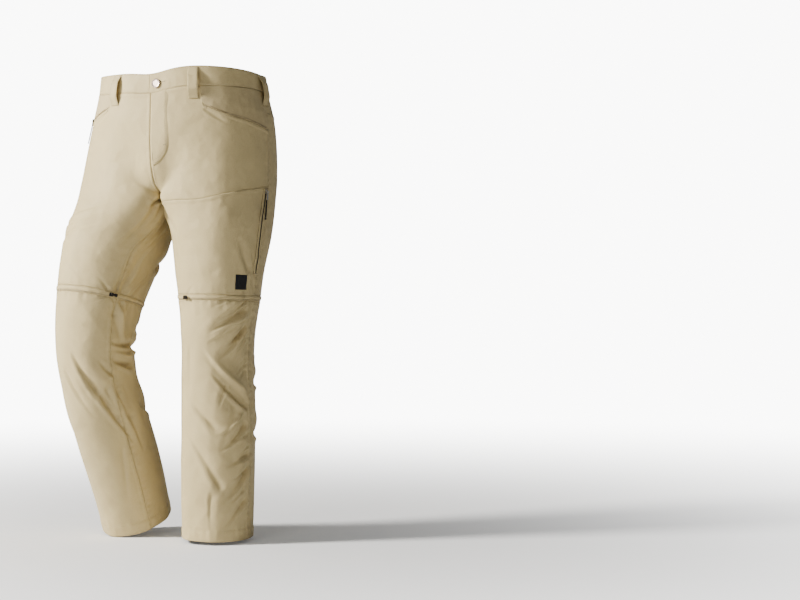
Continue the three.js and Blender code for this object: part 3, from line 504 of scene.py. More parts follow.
def grid_mesh(name, points, chart, wear_and_shade=None, turned=False):
    """A sheet whose rows and columns go through the points; chart gives its UV places in metres."""
    rows, columns = points.shape[:2]
    bm = bmesh.new()
    bmesh.ops.create_grid(bm, x_segments=columns - 1, y_segments=rows - 1, size=0.5)
    mesh = mesh_of(name, bm)
    flat = np.empty(len(mesh.vertices) * 3)
    mesh.vertices.foreach_get("co", flat)
    flat = flat.reshape(-1, 3)
    if len(flat) != rows * columns:
        raise RuntimeError(f"{name}: the grid has {len(flat)} points and not {rows * columns}")
    share = (flat - flat.min(0)) / np.maximum(np.ptp(flat, axis=0), 1e-9)
    j = np.rint(share[:, 0] * (columns - 1)).astype(int)
    i = np.rint((1 - share[:, 1]) * (rows - 1)).astype(int)
    if turned:
        j = columns - 1 - j
    mesh.vertices.foreach_set("co", (points[i, j] * MM).astype(np.float32).ravel())
    corners = np.empty(len(mesh.loops), np.int32)
    mesh.loops.foreach_get("vertex_index", corners)
    layer = mesh.uv_layers.new(name="cloth")
    layer.data.foreach_set("uv", chart[i, j][corners].astype(np.float32).ravel())
    # How much darker each point is near seams and edges: partly wear, partly painted shade.
    wear_and_shade_attribute = mesh.attributes.new("seam_wear_and_shade", "FLOAT", "POINT")
    values = np.zeros(len(flat)) if wear_and_shade is None else wear_and_shade[i, j]
    wear_and_shade_attribute.data.foreach_set("value", values.astype(np.float32))
    mesh.shade_smooth()
    mesh.update()
    return mesh


SEAM_STEPS = [0, 0.7, 1.5, 3.8, 6.2, 7.4]


def spread_lines(stops, spacing):
    """Grid lines between the stops in mm, set close at the first and the last."""
    lines = [stops[0] + step for step in SEAM_STEPS]
    inner = [lines[-1] + 1.6, *stops[1:-1], stops[-1] - SEAM_STEPS[-1] - 1.6]
    for a, b in zip(inner[:-1], inner[1:]):
        count = max(1, round((b - a) / spacing))
        lines += [a + (b - a) * k / count for k in range(count)]
    lines.append(inner[-1])
    return np.array(lines + [stops[-1] - step for step in reversed(SEAM_STEPS)])


def edge_rise(kind, away):
    """The profile of the cloth beside a seam, from the distance to it."""
    if kind == "felled":
        ridge = smooth((away - 0.2) / 1.2) * (1 - smooth((away - 6.6) / 1.6))
        return 0.65 * ridge - 0.3 * bell(away, 0.8)
    if kind == "tucked":
        return -0.4 * bell(away, 1.1)
    if kind == "turned":
        return -0.35 * bell(away, 0.6)
    return np.zeros_like(away)


def laid_cloth(name, side, points, across, drops, spec, wear_and_shade=None):
    """Cloth through the points, with its chart, its finish and its wall."""
    chart = np.stack([np.broadcast_to(across, drops.shape), drops], -1) * MM
    mesh = grid_mesh(name, points, chart, wear_and_shade, turned=side == "right")
    piece = link(name, mesh, spec.get("finish", "khaki_nylon_cloth"), spec.get("slot", "khaki_nylon"))
    add_wall(piece, spec.get("wall", CLOTH))
    return piece


def sheet_object(name, side, us, drops, spec):
    """A piece of cloth on the form, with its seams' profile, and a wall of its own."""
    u = np.broadcast_to(us, drops.shape)
    low, high, top, bottom = spec.get("edges", ("plain",) * 4)
    away = {
        "low": (u - u[:, :1]) * GIRTH,
        "high": (u[:, -1:] - u) * GIRTH,
        "top": drops - drops[:1],
        "bottom": drops[-1:] - drops,
    }
    kinds = {"low": low, "high": high, "top": top, "bottom": bottom}
    lift = sum(edge_rise(kinds[edge], away[edge]) for edge in away)
    if "relief" in spec:
        lift = lift + spec["relief"](u, drops, away)
    if spec.get("crumple", 0):
        lift = lift + spec["crumple"] * crumple(side, u, drops)
    sewn = [away[edge] for edge in away if kinds[edge] != "plain"]
    nearest = np.min(sewn or [np.full(u.shape, 99.0)], axis=0)
    # Darker within a few mm of the sewn edges: partly wear, partly painted shade in the seams' hollows.
    wear_and_shade = bell(nearest, 5)
    points = cloth_point(side, u, drops, spec.get("out", 0) + lift)
    return laid_cloth(name, side, points, u * GIRTH, drops, spec, wear_and_shade)


def half_seams(lines):
    lines = np.array(lines, float)
    lines[0] += SEAM / 2
    lines[-1] -= SEAM / 2
    return lines


def panel(name, side, stops, top, bottom, spec):
    """A cut piece between two edges, which replaces the CAD node of its name."""
    spacing = sizes().spacing
    us = half_seams(spread_lines([stop * GIRTH for stop in stops], spacing)) / GIRTH
    upper, lower = spec.get("settle", (None, None))
    above, below = top(us) + SEAM / 2, bottom(us) - SEAM / 2
    near = np.array(SEAM_STEPS)[:, None]
    first, last = above + near, below - near[::-1]
    upper = max(first[-1].max() + 2, upper or 0)
    lower = min(last[0].min() - 2, lower or 9999)
    fill = lambda a, b, n: a + (b - a) * (np.arange(1, n + 1) / (n + 1))[:, None]
    rows = [first]
    count = max(1, round((upper - first[-1].mean()) / spacing))
    rows.append(fill(first[-1], np.full(us.shape, upper), count))
    body = np.arange(upper, lower, spacing)
    rows.append(np.repeat(body[:, None], len(us), 1))
    count = max(1, round((last[0].mean() - body[-1]) / spacing))
    rows.append(fill(np.full(us.shape, body[-1]), last[0], count))
    rows.append(last)
    drops = np.concatenate(rows)
    piece = sheet_object(f"cloth_{name}", side, us, drops, spec)
    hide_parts(name)
    declare_sheet(plain_point(side, np.broadcast_to(us, drops.shape), drops))
    return piece


def declare_sheet(points, rests_on=()):
    """Does nothing with the sheet's points; what the sheet rests on is only made into a list."""
    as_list(rests_on)


def strip_object(name, side, us, drops, spec):
    """A laid-on piece of cloth; us and drops are grids."""
    points = cloth_point(side, us, drops, spec.get("out", 0) + spec.get("lift", 0))
    piece = laid_cloth(name, side, points, us * GIRTH, drops, spec, spec.get("wear_and_shade"))
    if not spec.get("sewn_down"):
        declare_sheet(points, spec.get("rests_on", ()))
    return piece


# Sewing, teeth and cords


def frame_at(side, u, drop, out, along):
    """A matrix whose x runs along the given way on the cloth and whose z points out of it."""
    point = cloth_point(side, u, drop, out)
    step = cloth_point(side, u + along[0] / GIRTH, drop + along[1], out) - point
    return Matrix.Translation(Vector(point) * MM) @ turn_matrix(step, outward(side, u, drop))


def line_points(side, us, drops, out):
    """A dense polyline on the cloth with its outward ways, in mm."""
    us, drops = np.broadcast_arrays(np.asarray(us, float), np.asarray(drops, float))
    return cloth_point(side, us, drops, out), outward(side, us, drops)


def along_line(points, ways, pitch, start=0.5):
    """Places, directions and outward ways at even steps along a polyline."""
    steps = np.linalg.norm(np.diff(points, axis=0), axis=1)
    run = np.concatenate([[0], np.cumsum(steps)])
    marks = np.arange(pitch * start, run[-1], pitch)
    place = np.stack([np.interp(marks, run, points[:, k]) for k in range(3)], -1)
    ahead = np.stack([np.interp(marks + 0.6, run, points[:, k]) for k in range(3)], -1)
    behind = np.stack([np.interp(marks - 0.6, run, points[:, k]) for k in range(3)], -1)
    way = np.stack([np.interp(marks, run, ways[:, k]) for k in range(3)], -1)
    return place, ahead - behind, way


def turn_matrix(x, z):
    x = Vector(x).normalized()
    z = Vector(z)
    z = (z - x * z.dot(x)).normalized()
    return Matrix((x, z.cross(x), z)).transposed().to_4x4()


def sew(bm, points, ways, pitch, length, radius):
    """Stitches as small threads that dip at both ends."""
    for place, x, z in zip(*along_line(points, ways, pitch)):
        size = Matrix.Diagonal((length / 2 * MM, radius * MM, radius * 0.8 * MM, 1))
        matrix = Matrix.Translation(Vector(place) * MM) @ turn_matrix(x, z) @ size
        bmesh.ops.create_icosphere(bm, subdivisions=1, radius=1, matrix=matrix)


def finish_mesh(name, bm, finish, slot, smooth_faces=True):
    mesh = mesh_of(name, bm)
    if smooth_faces:
        mesh.shade_smooth()
    return link(name, mesh, finish, slot)


def tube_points(route, radius, sides, braid):
    """Points round a route in mm, with the ridges of a braid."""
    tangent = np.gradient(route, axis=0)
    tangent /= np.linalg.norm(tangent, axis=1, keepdims=True)
    across = np.cross(tangent, (0.3, 0.9, 0.1))
    across /= np.linalg.norm(across, axis=1, keepdims=True)
    other = np.cross(tangent, across)
    run = np.concatenate([[0], np.cumsum(np.linalg.norm(np.diff(route, axis=0), axis=1))])
    angle = np.linspace(0, 2 * math.pi, sides + 1)[None, :]
    twist = run[:, None] / (radius * 3.2) * 2 * math.pi
    weave = np.abs(np.sin(2 * angle + twist)) * np.abs(np.sin(2 * angle - twist))
    reach = radius * (1 - braid + braid * weave)
    ring = across[:, None] * np.cos(angle)[..., None] + other[:, None] * np.sin(angle)[..., None]
    chart = np.stack(np.broadcast_arrays(angle * radius, run[:, None]), -1)
    return route[:, None] + ring * reach[..., None], chart * MM


def smooth_route(points, step=0.5):
    """A smooth curve through the given points in mm."""
    points = np.array(points, float)
    run = np.concatenate([[0], np.cumsum(np.linalg.norm(np.diff(points, axis=0), axis=1))])
    marks = np.linspace(0, run[-1], max(8, round(run[-1] / step)))
    return np.stack([curve_through(np.stack([run, points[:, k]], -1))(marks) for k in range(3)], -1)


def tube_object(name, route, radius, sides, finish, slot, braid=0.18):
    points, chart = tube_points(route, radius, sides, braid)
    mesh = grid_mesh(name, points, chart)
    weld(mesh, 1e-6, closed=True)
    return link(name, mesh, finish, slot)


# Finishes


def new_finish(name):
    material = bpy.data.materials.new(name)
    material.use_nodes = True
    nodes = material.node_tree.nodes
    shader = nodes["Principled BSDF"]
    return material, nodes, material.node_tree.links, shader


def sockets(shader, **values):
    for name, value in values.items():
        shader.inputs[name.replace("_", " ")].default_value = value


def product(nodes, links, first, second):
    node = nodes.new("ShaderNodeMath")
    node.operation = "MULTIPLY"
    links.new(first, node.inputs[0])
    links.new(second, node.inputs[1])
    return node.outputs["Value"]


def mix_surfaces(nodes, links, share, near, far, output):
    """Send a mix of two surfaces to the output node of that name."""
    node = nodes.new("ShaderNodeMixShader")
    for value, socket in zip((share, near, far), node.inputs):
        links.new(value, socket)
    links.new(node.outputs["Shader"], nodes[output].inputs["Surface"])


def weave_height(nodes, links, pitch):
    """Height of a plain weave that follows the cloth's own chart."""
    chart = nodes.new("ShaderNodeUVMap")
    chart.uv_map = "cloth"
    waves = []
    for way in ("X", "Y"):
        wave = nodes.new("ShaderNodeTexWave")
        wave.bands_direction = way
        sockets(wave, Scale=1 / (pitch * MM) * math.pi / 10, Distortion=0.6)
        links.new(chart.outputs["UV"], wave.inputs["Vector"])
        waves.append(wave)
    return product(nodes, links, waves[0].outputs["Fac"], waves[1].outputs["Fac"])


def bump(nodes, links, height, strength, distance, normal=None):
    node = nodes.new("ShaderNodeBump")
    sockets(node, Strength=strength, Distance=distance)
    links.new(height, node.inputs["Height"])
    if normal:
        links.new(normal, node.inputs["Normal"])
    return node.outputs["Normal"]


def noise(nodes, links, scale, detail=3, roughness=0.55, vector=None):
    node = nodes.new("ShaderNodeTexNoise")
    sockets(node, Scale=scale, Detail=detail, Roughness=roughness)
    if vector is None:
        vector = nodes.new("ShaderNodeTexCoord").outputs["Object"]
    links.new(vector, node.inputs["Vector"])
    return node.outputs["Fac"]


def ramp(nodes, links, factor, low, high, start=0.3, end=0.7):
    node = nodes.new("ShaderNodeValToRGB")
    node.color_ramp.elements[0].position, node.color_ramp.elements[0].color = start, (*low, 1)
    node.color_ramp.elements[1].position, node.color_ramp.elements[1].color = end, (*high, 1)
    links.new(factor, node.inputs["Fac"])
    return node.outputs["Color"]


def blend_colours(nodes, links, factor, first, second, mode="MIX"):
    node = nodes.new("ShaderNodeMix")
    node.data_type = "RGBA"
    node.blend_type = mode
    links.new(first, node.inputs["A"])
    if isinstance(second, tuple):
        node.inputs["B"].default_value = (*second, 1)
    else:
        links.new(second, node.inputs["B"])
    if isinstance(factor, float):
        node.inputs["Factor"].default_value = factor
    else:
        links.new(factor, node.inputs["Factor"])
    return node.outputs["Result"]


def shade_of(colour, share):
    return tuple(channel * share for channel in colour)


def nylon_finish(name, colour, pitch=0.7, rough=0.6):
    """Light nylon: a fine weave, a faint crumple, uneven dye, and seams darkened partly by wear and partly by
    painted shade.
    """
    material, nodes, links, shader = new_finish(name)
    sockets(shader, Sheen_Weight=0.1, Sheen_Roughness=0.45, Specular_IOR_Level=0.26)
    dye = ramp(nodes, links, noise(nodes, links, 9), shade_of(colour, 0.94), shade_of(colour, 1.03))
    speck = ramp(nodes, links, noise(nodes, links, 900, 2), (0.93,) * 3, (1.04,) * 3)
    flecked = blend_colours(nodes, links, 1.0, dye, speck, "MULTIPLY")
    # Darker cloth near seams and edges, in uneven patches: partly wear, partly painted shade in the seams'
    # hollows.
    wear_and_shade_attribute = nodes.new("ShaderNodeAttribute")
    wear_and_shade_attribute.attribute_name = "seam_wear_and_shade"
    uneven = ramp(nodes, links, noise(nodes, links, 140), (0.05,) * 3, (0.75,) * 3)
    patch = product(nodes, links, wear_and_shade_attribute.outputs["Fac"], uneven)
    worn_and_shaded_cloth = blend_colours(nodes, links, patch, flecked, shade_of(colour, 0.86))
    links.new(worn_and_shaded_cloth, shader.inputs["Base Color"])
    gloss = nodes.new("ShaderNodeMapRange")
    sockets(gloss, To_Min=rough - 0.06, To_Max=rough + 0.08)
    links.new(noise(nodes, links, 60), gloss.inputs["Value"])
    links.new(gloss.outputs["Result"], shader.inputs["Roughness"])
    rumple = bump(nodes, links, noise(nodes, links, 20, 1.8, 0.5), 0.65, 0.009)
    soft = bump(nodes, links, noise(nodes, links, 85, 3), 0.25, 0.0006, rumple)
    woven = bump(nodes, links, weave_height(nodes, links, pitch), 0.35, 0.00012, soft)
    links.new(woven, shader.inputs["Normal"])
    return material


def thread_finish(name, colour):
    material, nodes, links, shader = new_finish(name)
    sockets(shader, Roughness=0.55, Sheen_Weight=0.2)
    twist = ramp(nodes, links, noise(nodes, links, 1500), shade_of(colour, 0.8), colour)
    links.new(twist, shader.inputs["Base Color"])
    return material


def tape_finish(name, colour, rough=0.75):
    """Woven tape or braided cord, with a coarse weave along its own chart."""
    material, nodes, links, shader = new_finish(name)
    sockets(shader, Sheen_Weight=0.12, Roughness=rough)
    height = weave_height(nodes, links, 0.9)
    links.new(ramp(nodes, links, height, shade_of(colour, 0.7), shade_of(colour, 1.25), 0.1, 0.8),
              shader.inputs["Base Color"])
    links.new(bump(nodes, links, height, 0.5, 0.0002), shader.inputs["Normal"])
    return material


def metal_finish(name, colour, metallic, rough):
    """Cast and tumbled metal, scuffed unevenly."""
    material, nodes, links, shader = new_finish(name)
    sockets(shader, Metallic=metallic)
    scuffs = noise(nodes, links, 420, 5, 0.65)
    links.new(ramp(nodes, links, scuffs, shade_of(colour, 0.82), colour), shader.inputs["Base Color"])
    links.new(ramp(nodes, links, scuffs, (rough,) * 3, (rough + 0.16,) * 3), shader.inputs["Roughness"])
    links.new(bump(nodes, links, scuffs, 0.15, 0.0001), shader.inputs["Normal"])
    return material


# Sizes and colours that a user would change


def colour_property(name, description, default):
    return FloatVectorProperty(name=name, description=description, subtype="COLOR", size=3, min=0, max=1,
                               default=default)


def size_property(name, description, default, low, high):
    return FloatProperty(name=name, description=description, default=default, min=low, max=high)


class TrouserSizes(bpy.types.PropertyGroup):
    spacing: size_property("Grid", "Spacing of the cloth's grid in mm", 3.0, 1.5, 10)
    stitch_pitch: size_property("Stitch pitch", "From one stitch to the next in mm", 3.2, 1, 10)
    stitch_length: size_property("Stitch length", "Length of a stitch in mm", 2.4, 0.5, 8)
    thread: size_property("Thread", "Half the thickness of the thread in mm", 0.3, 0.1, 1)
    tooth_pitch: size_property("Tooth pitch", "From one zip tooth to the next in mm", 1.7, 0.8, 5)
    cord_sides: IntProperty(name="Cord sides", description="Faces round a cord", default=20, min=6, max=48)


class TrouserColours(bpy.types.PropertyGroup):
    cloth: colour_property("Cloth", "The khaki nylon", (0.575, 0.475, 0.27))
    facing: colour_property("Facing", "The cloth inside the pockets", (0.54, 0.445, 0.26))
    thread: colour_property("Thread", "The sewing thread", (0.44, 0.36, 0.21))
    tape: colour_property("Zip tape", "The tapes of the pocket zips", (0.1, 0.075, 0.045))
    cord: colour_property("Cord", "The pull cords", (0.03, 0.024, 0.018))
    label: colour_property("Label", "The bare label", (0.012, 0.012, 0.013))
    floor: colour_property("Floor", "The floor and the backdrop", (0.86, 0.855, 0.84))


def sizes():
    return bpy.context.scene.trouser_sizes


def colours():
    return bpy.context.scene.trouser_colours


# name, colour, share of metal and roughness
METALS = [
    ("tumbled_silver", (0.62, 0.6, 0.57), 1.0, 0.26),
    ("coil_black", (0.03, 0.026, 0.022), 0.2, 0.42),
    ("coil_khaki", (0.44, 0.36, 0.22), 0.0, 0.5),
    ("blackened_metal", (0.06, 0.057, 0.055), 0.9, 0.34),
    ("rose_silver_button", (0.66, 0.54, 0.47), 0.85, 0.3),
]
SILVERED = ("cargo_zip_slider", "cargo_zip_pull_tab", "back_pocket_slider")
KNEE_METAL = [f"knee_zip_{side}_{part}" for side in SIDES for part in ("slider", "pull_tab")]
HARD_PIECES = {
    **dict.fromkeys(SILVERED, "tumbled_silver"),
    **dict.fromkeys(["hand_pocket_slider", *KNEE_METAL], "blackened_metal"),
    "waist_button": "rose_silver_button",
}


class TROUSERS_OT_finishes(bpy.types.Operator):
    """Make the finishes and give them to the hard pieces of the frame"""

    bl_idname = "trousers.finishes"
    bl_label = "Finishes"

    def execute(self, context):
        tints = colours()
        nylon_finish("khaki_nylon_cloth", tuple(tints.cloth))
        nylon_finish("pocket_facing_cloth", tuple(tints.facing), 0.9, 0.68)
        thread_finish("khaki_thread", tuple(tints.thread))
        tape_finish("dark_zip_tape", tuple(tints.tape))
        tape_finish("braided_dark_cord", tuple(tints.cord), 0.8)
        tape_finish("bare_black_label", tuple(tints.label), 0.7)
        for name, colour, metallic, rough in METALS:
            metal_finish(name, colour, metallic, rough)
        for node, finish in HARD_PIECES.items():
            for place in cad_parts[node].material_slots:
                place.material = bpy.data.materials[finish]
        return {"FINISHED"}


BACKDROP = 5.0
BACKDROP_COLOUR = (1, 1, 0.99, 1)
SKY, SKY_COLOUR = 0.13, (0.95, 0.97, 1.0, 1)
FLOOR_GAP = 0.0015
FLOOR_RADIUS = 30
# Distances in m from the middle of the floor, over which it fades into the backdrop
FADE_FROM, FADE_TO = 0.7, 4
# name, place and size in m, and power in W
LAMPS = [
    ("key", (-2.8, -2.4, 1.6), 0.8, 325),
    ("front", (0.2, -4.2, 0.6), 1.4, 24),
    ("rim", (2.4, 2.8, 1.2), 1.6, 7),
    ("side", (3.4, -1.4, 0.5), 1.8, 5),
]
LAMP_AIM = Vector((0, -0.02, -0.45))
LAMP_COLOUR = (1.0, 0.985, 0.96)
# The camera stands at this angle from the front and looks a little past the trousers, as in the photo
CAMERA_AZIMUTH, CAMERA_TURN = math.radians(30), math.radians(7.2)
CAMERA_DISTANCE, CAMERA_LENS, CAMERA_SENSOR = 3.645, 77.1, 36
TROUSERS_MIDDLE = Vector((0, 0, -0.45))


class TROUSERS_OT_stage(bpy.types.Operator):
    """Lay the floor, hang the lights and set the camera at the photograph's angle"""

    bl_idname = "trousers.stage"
    bl_label = "Stage"

    def execute(self, context):
        floor_z = CAD_BOX[0].z - FLOOR_GAP
        pale = tuple(colours().floor)
        material, nodes, links, shader = new_finish("pale_floor")
        sockets(shader, Roughness=0.9, Specular_IOR_Level=0.1)
        grain = ramp(nodes, links, noise(nodes, links, 30), shade_of(pale, 0.985), pale)
        links.new(grain, shader.inputs["Base Color"])
        far = nodes.new("ShaderNodeEmission")
        sockets(far, Color=BACKDROP_COLOUR, Strength=BACKDROP)
        place = nodes.new("ShaderNodeTexCoord")
        reach = nodes.new("ShaderNodeVectorMath")
        reach.operation = "LENGTH"
        links.new(place.outputs["Object"], reach.inputs[0])
        share = nodes.new("ShaderNodeMapRange")
        share.interpolation_type = "SMOOTHSTEP"
        sockets(share, From_Min=FADE_FROM, From_Max=FADE_TO)
        links.new(reach.outputs["Value"], share.inputs["Value"])
        seen_directly = nodes.new("ShaderNodeLightPath")
        faded = product(nodes, links, share.outputs["Result"], seen_directly.outputs["Is Camera Ray"])
        surfaces = shader.outputs["BSDF"], far.outputs["Emission"]
        mix_surfaces(nodes, links, faded, *surfaces, "Material Output")
        bm = bmesh.new()
        bmesh.ops.create_circle(bm, cap_ends=True, segments=96, radius=FLOOR_RADIUS)
        bmesh.ops.translate(bm, verts=bm.verts, vec=(0, 0, floor_z))
        mesh = mesh_of("floor", bm)
        mesh.materials.append(material)
        floor = put_in_scene("floor", mesh)

        world = bpy.data.worlds.new("soft_studio")
        world.use_nodes = True
        context.scene.world = world
        nodes, links = world.node_tree.nodes, world.node_tree.links
        sky = nodes["Background"]
        sockets(sky, Color=SKY_COLOUR, Strength=SKY)
        backdrop = nodes.new("ShaderNodeBackground")
        sockets(backdrop, Color=BACKDROP_COLOUR, Strength=BACKDROP)
        seen = nodes.new("ShaderNodeLightPath").outputs["Is Camera Ray"]
        skies = sky.outputs["Background"], backdrop.outputs["Background"]
        mix_surfaces(nodes, links, seen, *skies, "World Output")

        for name, place, size, power in LAMPS:
            light = bpy.data.lights.new(name, "AREA")
            light.shape = "DISK"
            light.size = size
            light.energy = power
            light.color = LAMP_COLOUR
            lamp = put_in_scene(name, light)
            lamp.location = place
            lamp.rotation_euler = (LAMP_AIM - Vector(place)).to_track_quat("-Z", "Y").to_euler()

        lens = bpy.data.cameras.new("camera")
        lens.lens, lens.sensor_width = CAMERA_LENS, CAMERA_SENSOR
        camera = put_in_scene("camera", lens)
        ahead = Vector((-math.sin(CAMERA_AZIMUTH), math.cos(CAMERA_AZIMUTH), 0))
        beside = Vector((math.cos(CAMERA_AZIMUTH), math.sin(CAMERA_AZIMUTH), 0))
        look = ahead * math.cos(CAMERA_TURN) + beside * math.sin(CAMERA_TURN)
        camera.location = TROUSERS_MIDDLE - ahead * CAMERA_DISTANCE
        camera.rotation_euler = look.to_track_quat("-Z", "Y").to_euler()
        context.scene.camera = camera
        context.scene.view_settings.look = "AgX - Medium High Contrast"
        return {"FINISHED"}


# Cords hang from their sliders and end in a knot

CORDS = {
    "cargo_zip": {"side": "left", "u": 0.482, "drop": CARGO_FROM, "radius": 1.6},
    "hand_pocket": {"side": "right", "u": 0.372, "drop": 92, "radius": 1.1, "falls": (14, 25, 36, 45)},
    "back_pocket": {"side": "right", "u": 0.667, "drop": 118, "radius": 1.3, "falls": (15, 27, 39, 50)},
}


def middle_of(node):
    low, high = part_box(node)
    return (low + high) / 2 / MM


def cord_route(name):
    """The same places that the part gives the cord, in mm; its knot's middle gives the end of the way."""
    cord = CORDS[name]
    if name == "cargo_zip":
        hang = [cloth_point("left", cord["u"] + 0.002 * i, cord["drop"] + fall, 5.6 - 0.5 * i)
                for i, fall in enumerate((35, 44, 53, 61))]
        tab = middle_of("cargo_zip_pull_tab")
        cord_middle = middle_of("cargo_zip_cord")
        first = np.array([tab[0], cord_middle[1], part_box("cargo_zip_cord")[1].z / MM])
        first[:2] = hang[0][:2] + (first[:2] - hang[0][:2]) * 0.5
        first[2] -= 0.3
        return [first, *hang]
    out = {"hand_pocket": LIE, "back_pocket": LIE + 0.9 + SEAM}[name]
    place = frame_at(cord["side"], cord["u"], cord["drop"], out, (0, -1))
    exit_point = place @ Vector((-3.3 * MM, 0, 1.3 * MM)) / MM
    hang = [cloth_point(cord["side"], cord["u"], cord["drop"] + fall, out + 1.3 + 0.4 * i)
            for i, fall in enumerate(cord["falls"])]
    return [np.array(exit_point), *hang]


def knot_route(middle, size, way):
    """A closed overhand knot that fits the ball of its node."""
    t = np.linspace(0, 2 * math.pi, 97)
    loop = np.stack([np.sin(t) + 2 * np.sin(2 * t), np.cos(t) - 2 * np.cos(2 * t), -1.3 * np.sin(3 * t)], -1)
    loop *= size / 3.1
    z = Vector(way).normalized()
    turn = z.to_track_quat("Y", "Z").to_matrix()
    return np.array([np.array(turn @ Vector(p)) for p in loop]) + middle


class TROUSERS_OT_cords(bpy.types.Operator):
    """Braid the three pull cords and tie their knots"""

    bl_idname = "trousers.cords"
    bl_label = "Cords and knots"

    def execute(self, context):
        for name, cord in CORDS.items():
            route = smooth_route(cord_route(name))
            radius = cord["radius"]
            look = "braided_dark_cord", "dark_cord"
            piece = tube_object(f"braid_{name}", route, radius, sizes().cord_sides, *look)
            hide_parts(f"{name}_cord")
            middle = np.array(middle_of(f"{name}_knot"))
            thick = radius * 0.62
            low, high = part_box(f"{name}_knot")
            ball = min(high - low) / MM / 2
            way = route[-1] - route[-3]
            knot = tube_object(f"tied_{name}", knot_route(middle, ball - thick, way), thick, 10, *look)
            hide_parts(f"{name}_knot")
            body = "cargo_pull" if name == "cargo_zip" else "root"
            for part in (piece, knot):
                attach(part, body)
        return {"FINISHED"}


# The panels of cloth


def zip_top(u):
    return np.full(np.shape(u), ZIP_DROP - ZIP_BAND / 2)


def zip_bottom(u):
    return np.full(np.shape(u), ZIP_DROP + ZIP_BAND / 2)


def pocket_top(side):
    def at(u):
        mouth = pocket_edge(u) - POCKET_LIFT[side]
        share = np.clip((u - POCKET_TOP_U) / (POCKET_CORNER_U - POCKET_TOP_U), 0, 1)
        return waist_seam(u) + (mouth - waist_seam(u)) * share
    return at


def puckers(seed, depth, wave=14, reach=13, edges=("low", "high")):
    """Gathers that run out from a seam's stitching."""
    def relief(u, drops, away):
        total = np.zeros(u.shape)
        for k, edge in enumerate(edges):
            where = drops if edge in ("low", "high") else u * GIRTH
            fade = bell(away[edge], reach)
            total += depth * fade * ripple(where, wave, seed + k)
        return total
    return relief


def hem_relief(seed):
    sides = puckers(seed, 0.85)
    tops = puckers(seed + 5, 0.9, 16, 16, ("top",))

    def relief(u, drops, away):
        hem = 0.7 * smooth((24 - away["bottom"]) / 1.5) - 0.5 * bell(away["bottom"] - 23, 1.1)
        pulled = 0.7 * bell(away["bottom"] - 19, 13) * ripple(u * GIRTH, 17, seed + 9)
        waved = 1.5 * bell(away["bottom"], 40) * ripple(u * GIRTH, 74, seed + 11)
        inner = smooth(away["low"] / 30) * smooth(away["high"] / 30)
        return sides(u, drops, away) + tops(u, drops, away) + hem + pulled + waved * inner
    return relief


class TROUSERS_OT_upper_panels(bpy.types.Operator):
    """Lay the panels of the hips and thighs"""

    bl_idname = "trousers.upper_panels"
    bl_label = "Hips and thighs"

    def execute(self, context):
        mouth = [0, POCKET_TOP_U, POCKET_CORNER_U, 0.5]
        fronts = ("felled", "felled", "felled", "tucked")
        knees = puckers(20, 0.5, 15, 15, ("low", "high", "bottom"))
        hips_only = puckers(24, 0.35)
        panel("front_thigh_right", "right", mouth, pocket_top("right"), zip_top,
              {"edges": fronts, "relief": knees, "crumple": 0.5, "settle": (SETTLED, None)})
        panel("front_hip_left", "left", mouth, pocket_top("left"), cargo_seam,
              {"edges": fronts, "relief": hips_only, "crumple": 0.5, "settle": (SETTLED, 202)})
        panel("cargo_pocket_left", "left", [0, 0.5], cargo_seam, zip_top,
              {"edges": fronts, "relief": puckers(30, 0.5, 15, 15, ("low", "high", "top", "bottom")),
               "crumple": 0.5, "settle": (309, None)})
        for k, side in enumerate(SIDES):
            panel(f"back_yoke_{side}", side, [0.5, 1], waist_seam, yoke_seam,
                  {"edges": ("tucked", "tucked", "tucked", "tucked"),
                   "relief": puckers(40 + 5 * k, 0.3, 12, 12, ("top",)), "crumple": 0.3})
            panel(f"back_thigh_{side}", side, [0.5, 1], yoke_seam, zip_top,
                  {"edges": ("tucked", "tucked", "felled", "tucked"),
                   "relief": puckers(50 + 5 * k, 0.5, 15, 15, ("low", "high", "bottom")), "crumple": 0.6,
                   "settle": (SETTLED, None)})
        return {"FINISHED"}


class TROUSERS_OT_lower_legs(bpy.types.Operator):
    """Lay the lower legs that zip off"""

    bl_idname = "trousers.lower_legs"
    bl_label = "Lower legs"

    def execute(self, context):
        for k, side in enumerate(SIDES):
            hem = lambda u, drop=HEM_DROP[side]: np.full(np.shape(u), drop + 0.0)
            panel(f"front_lower_leg_{side}", side, [0, 0.5], zip_bottom, hem,
                  {"edges": ("felled", "felled", "tucked", "turned"), "relief": hem_relief(60 + 20 * k),
                   "crumple": 0.6})
            panel(f"back_lower_leg_{side}", side, [0.5, 1], zip_bottom, hem,
                  {"edges": ("tucked", "tucked", "tucked", "turned"), "relief": hem_relief(70 + 20 * k),
                   "crumple": 0.7})
        return {"FINISHED"}


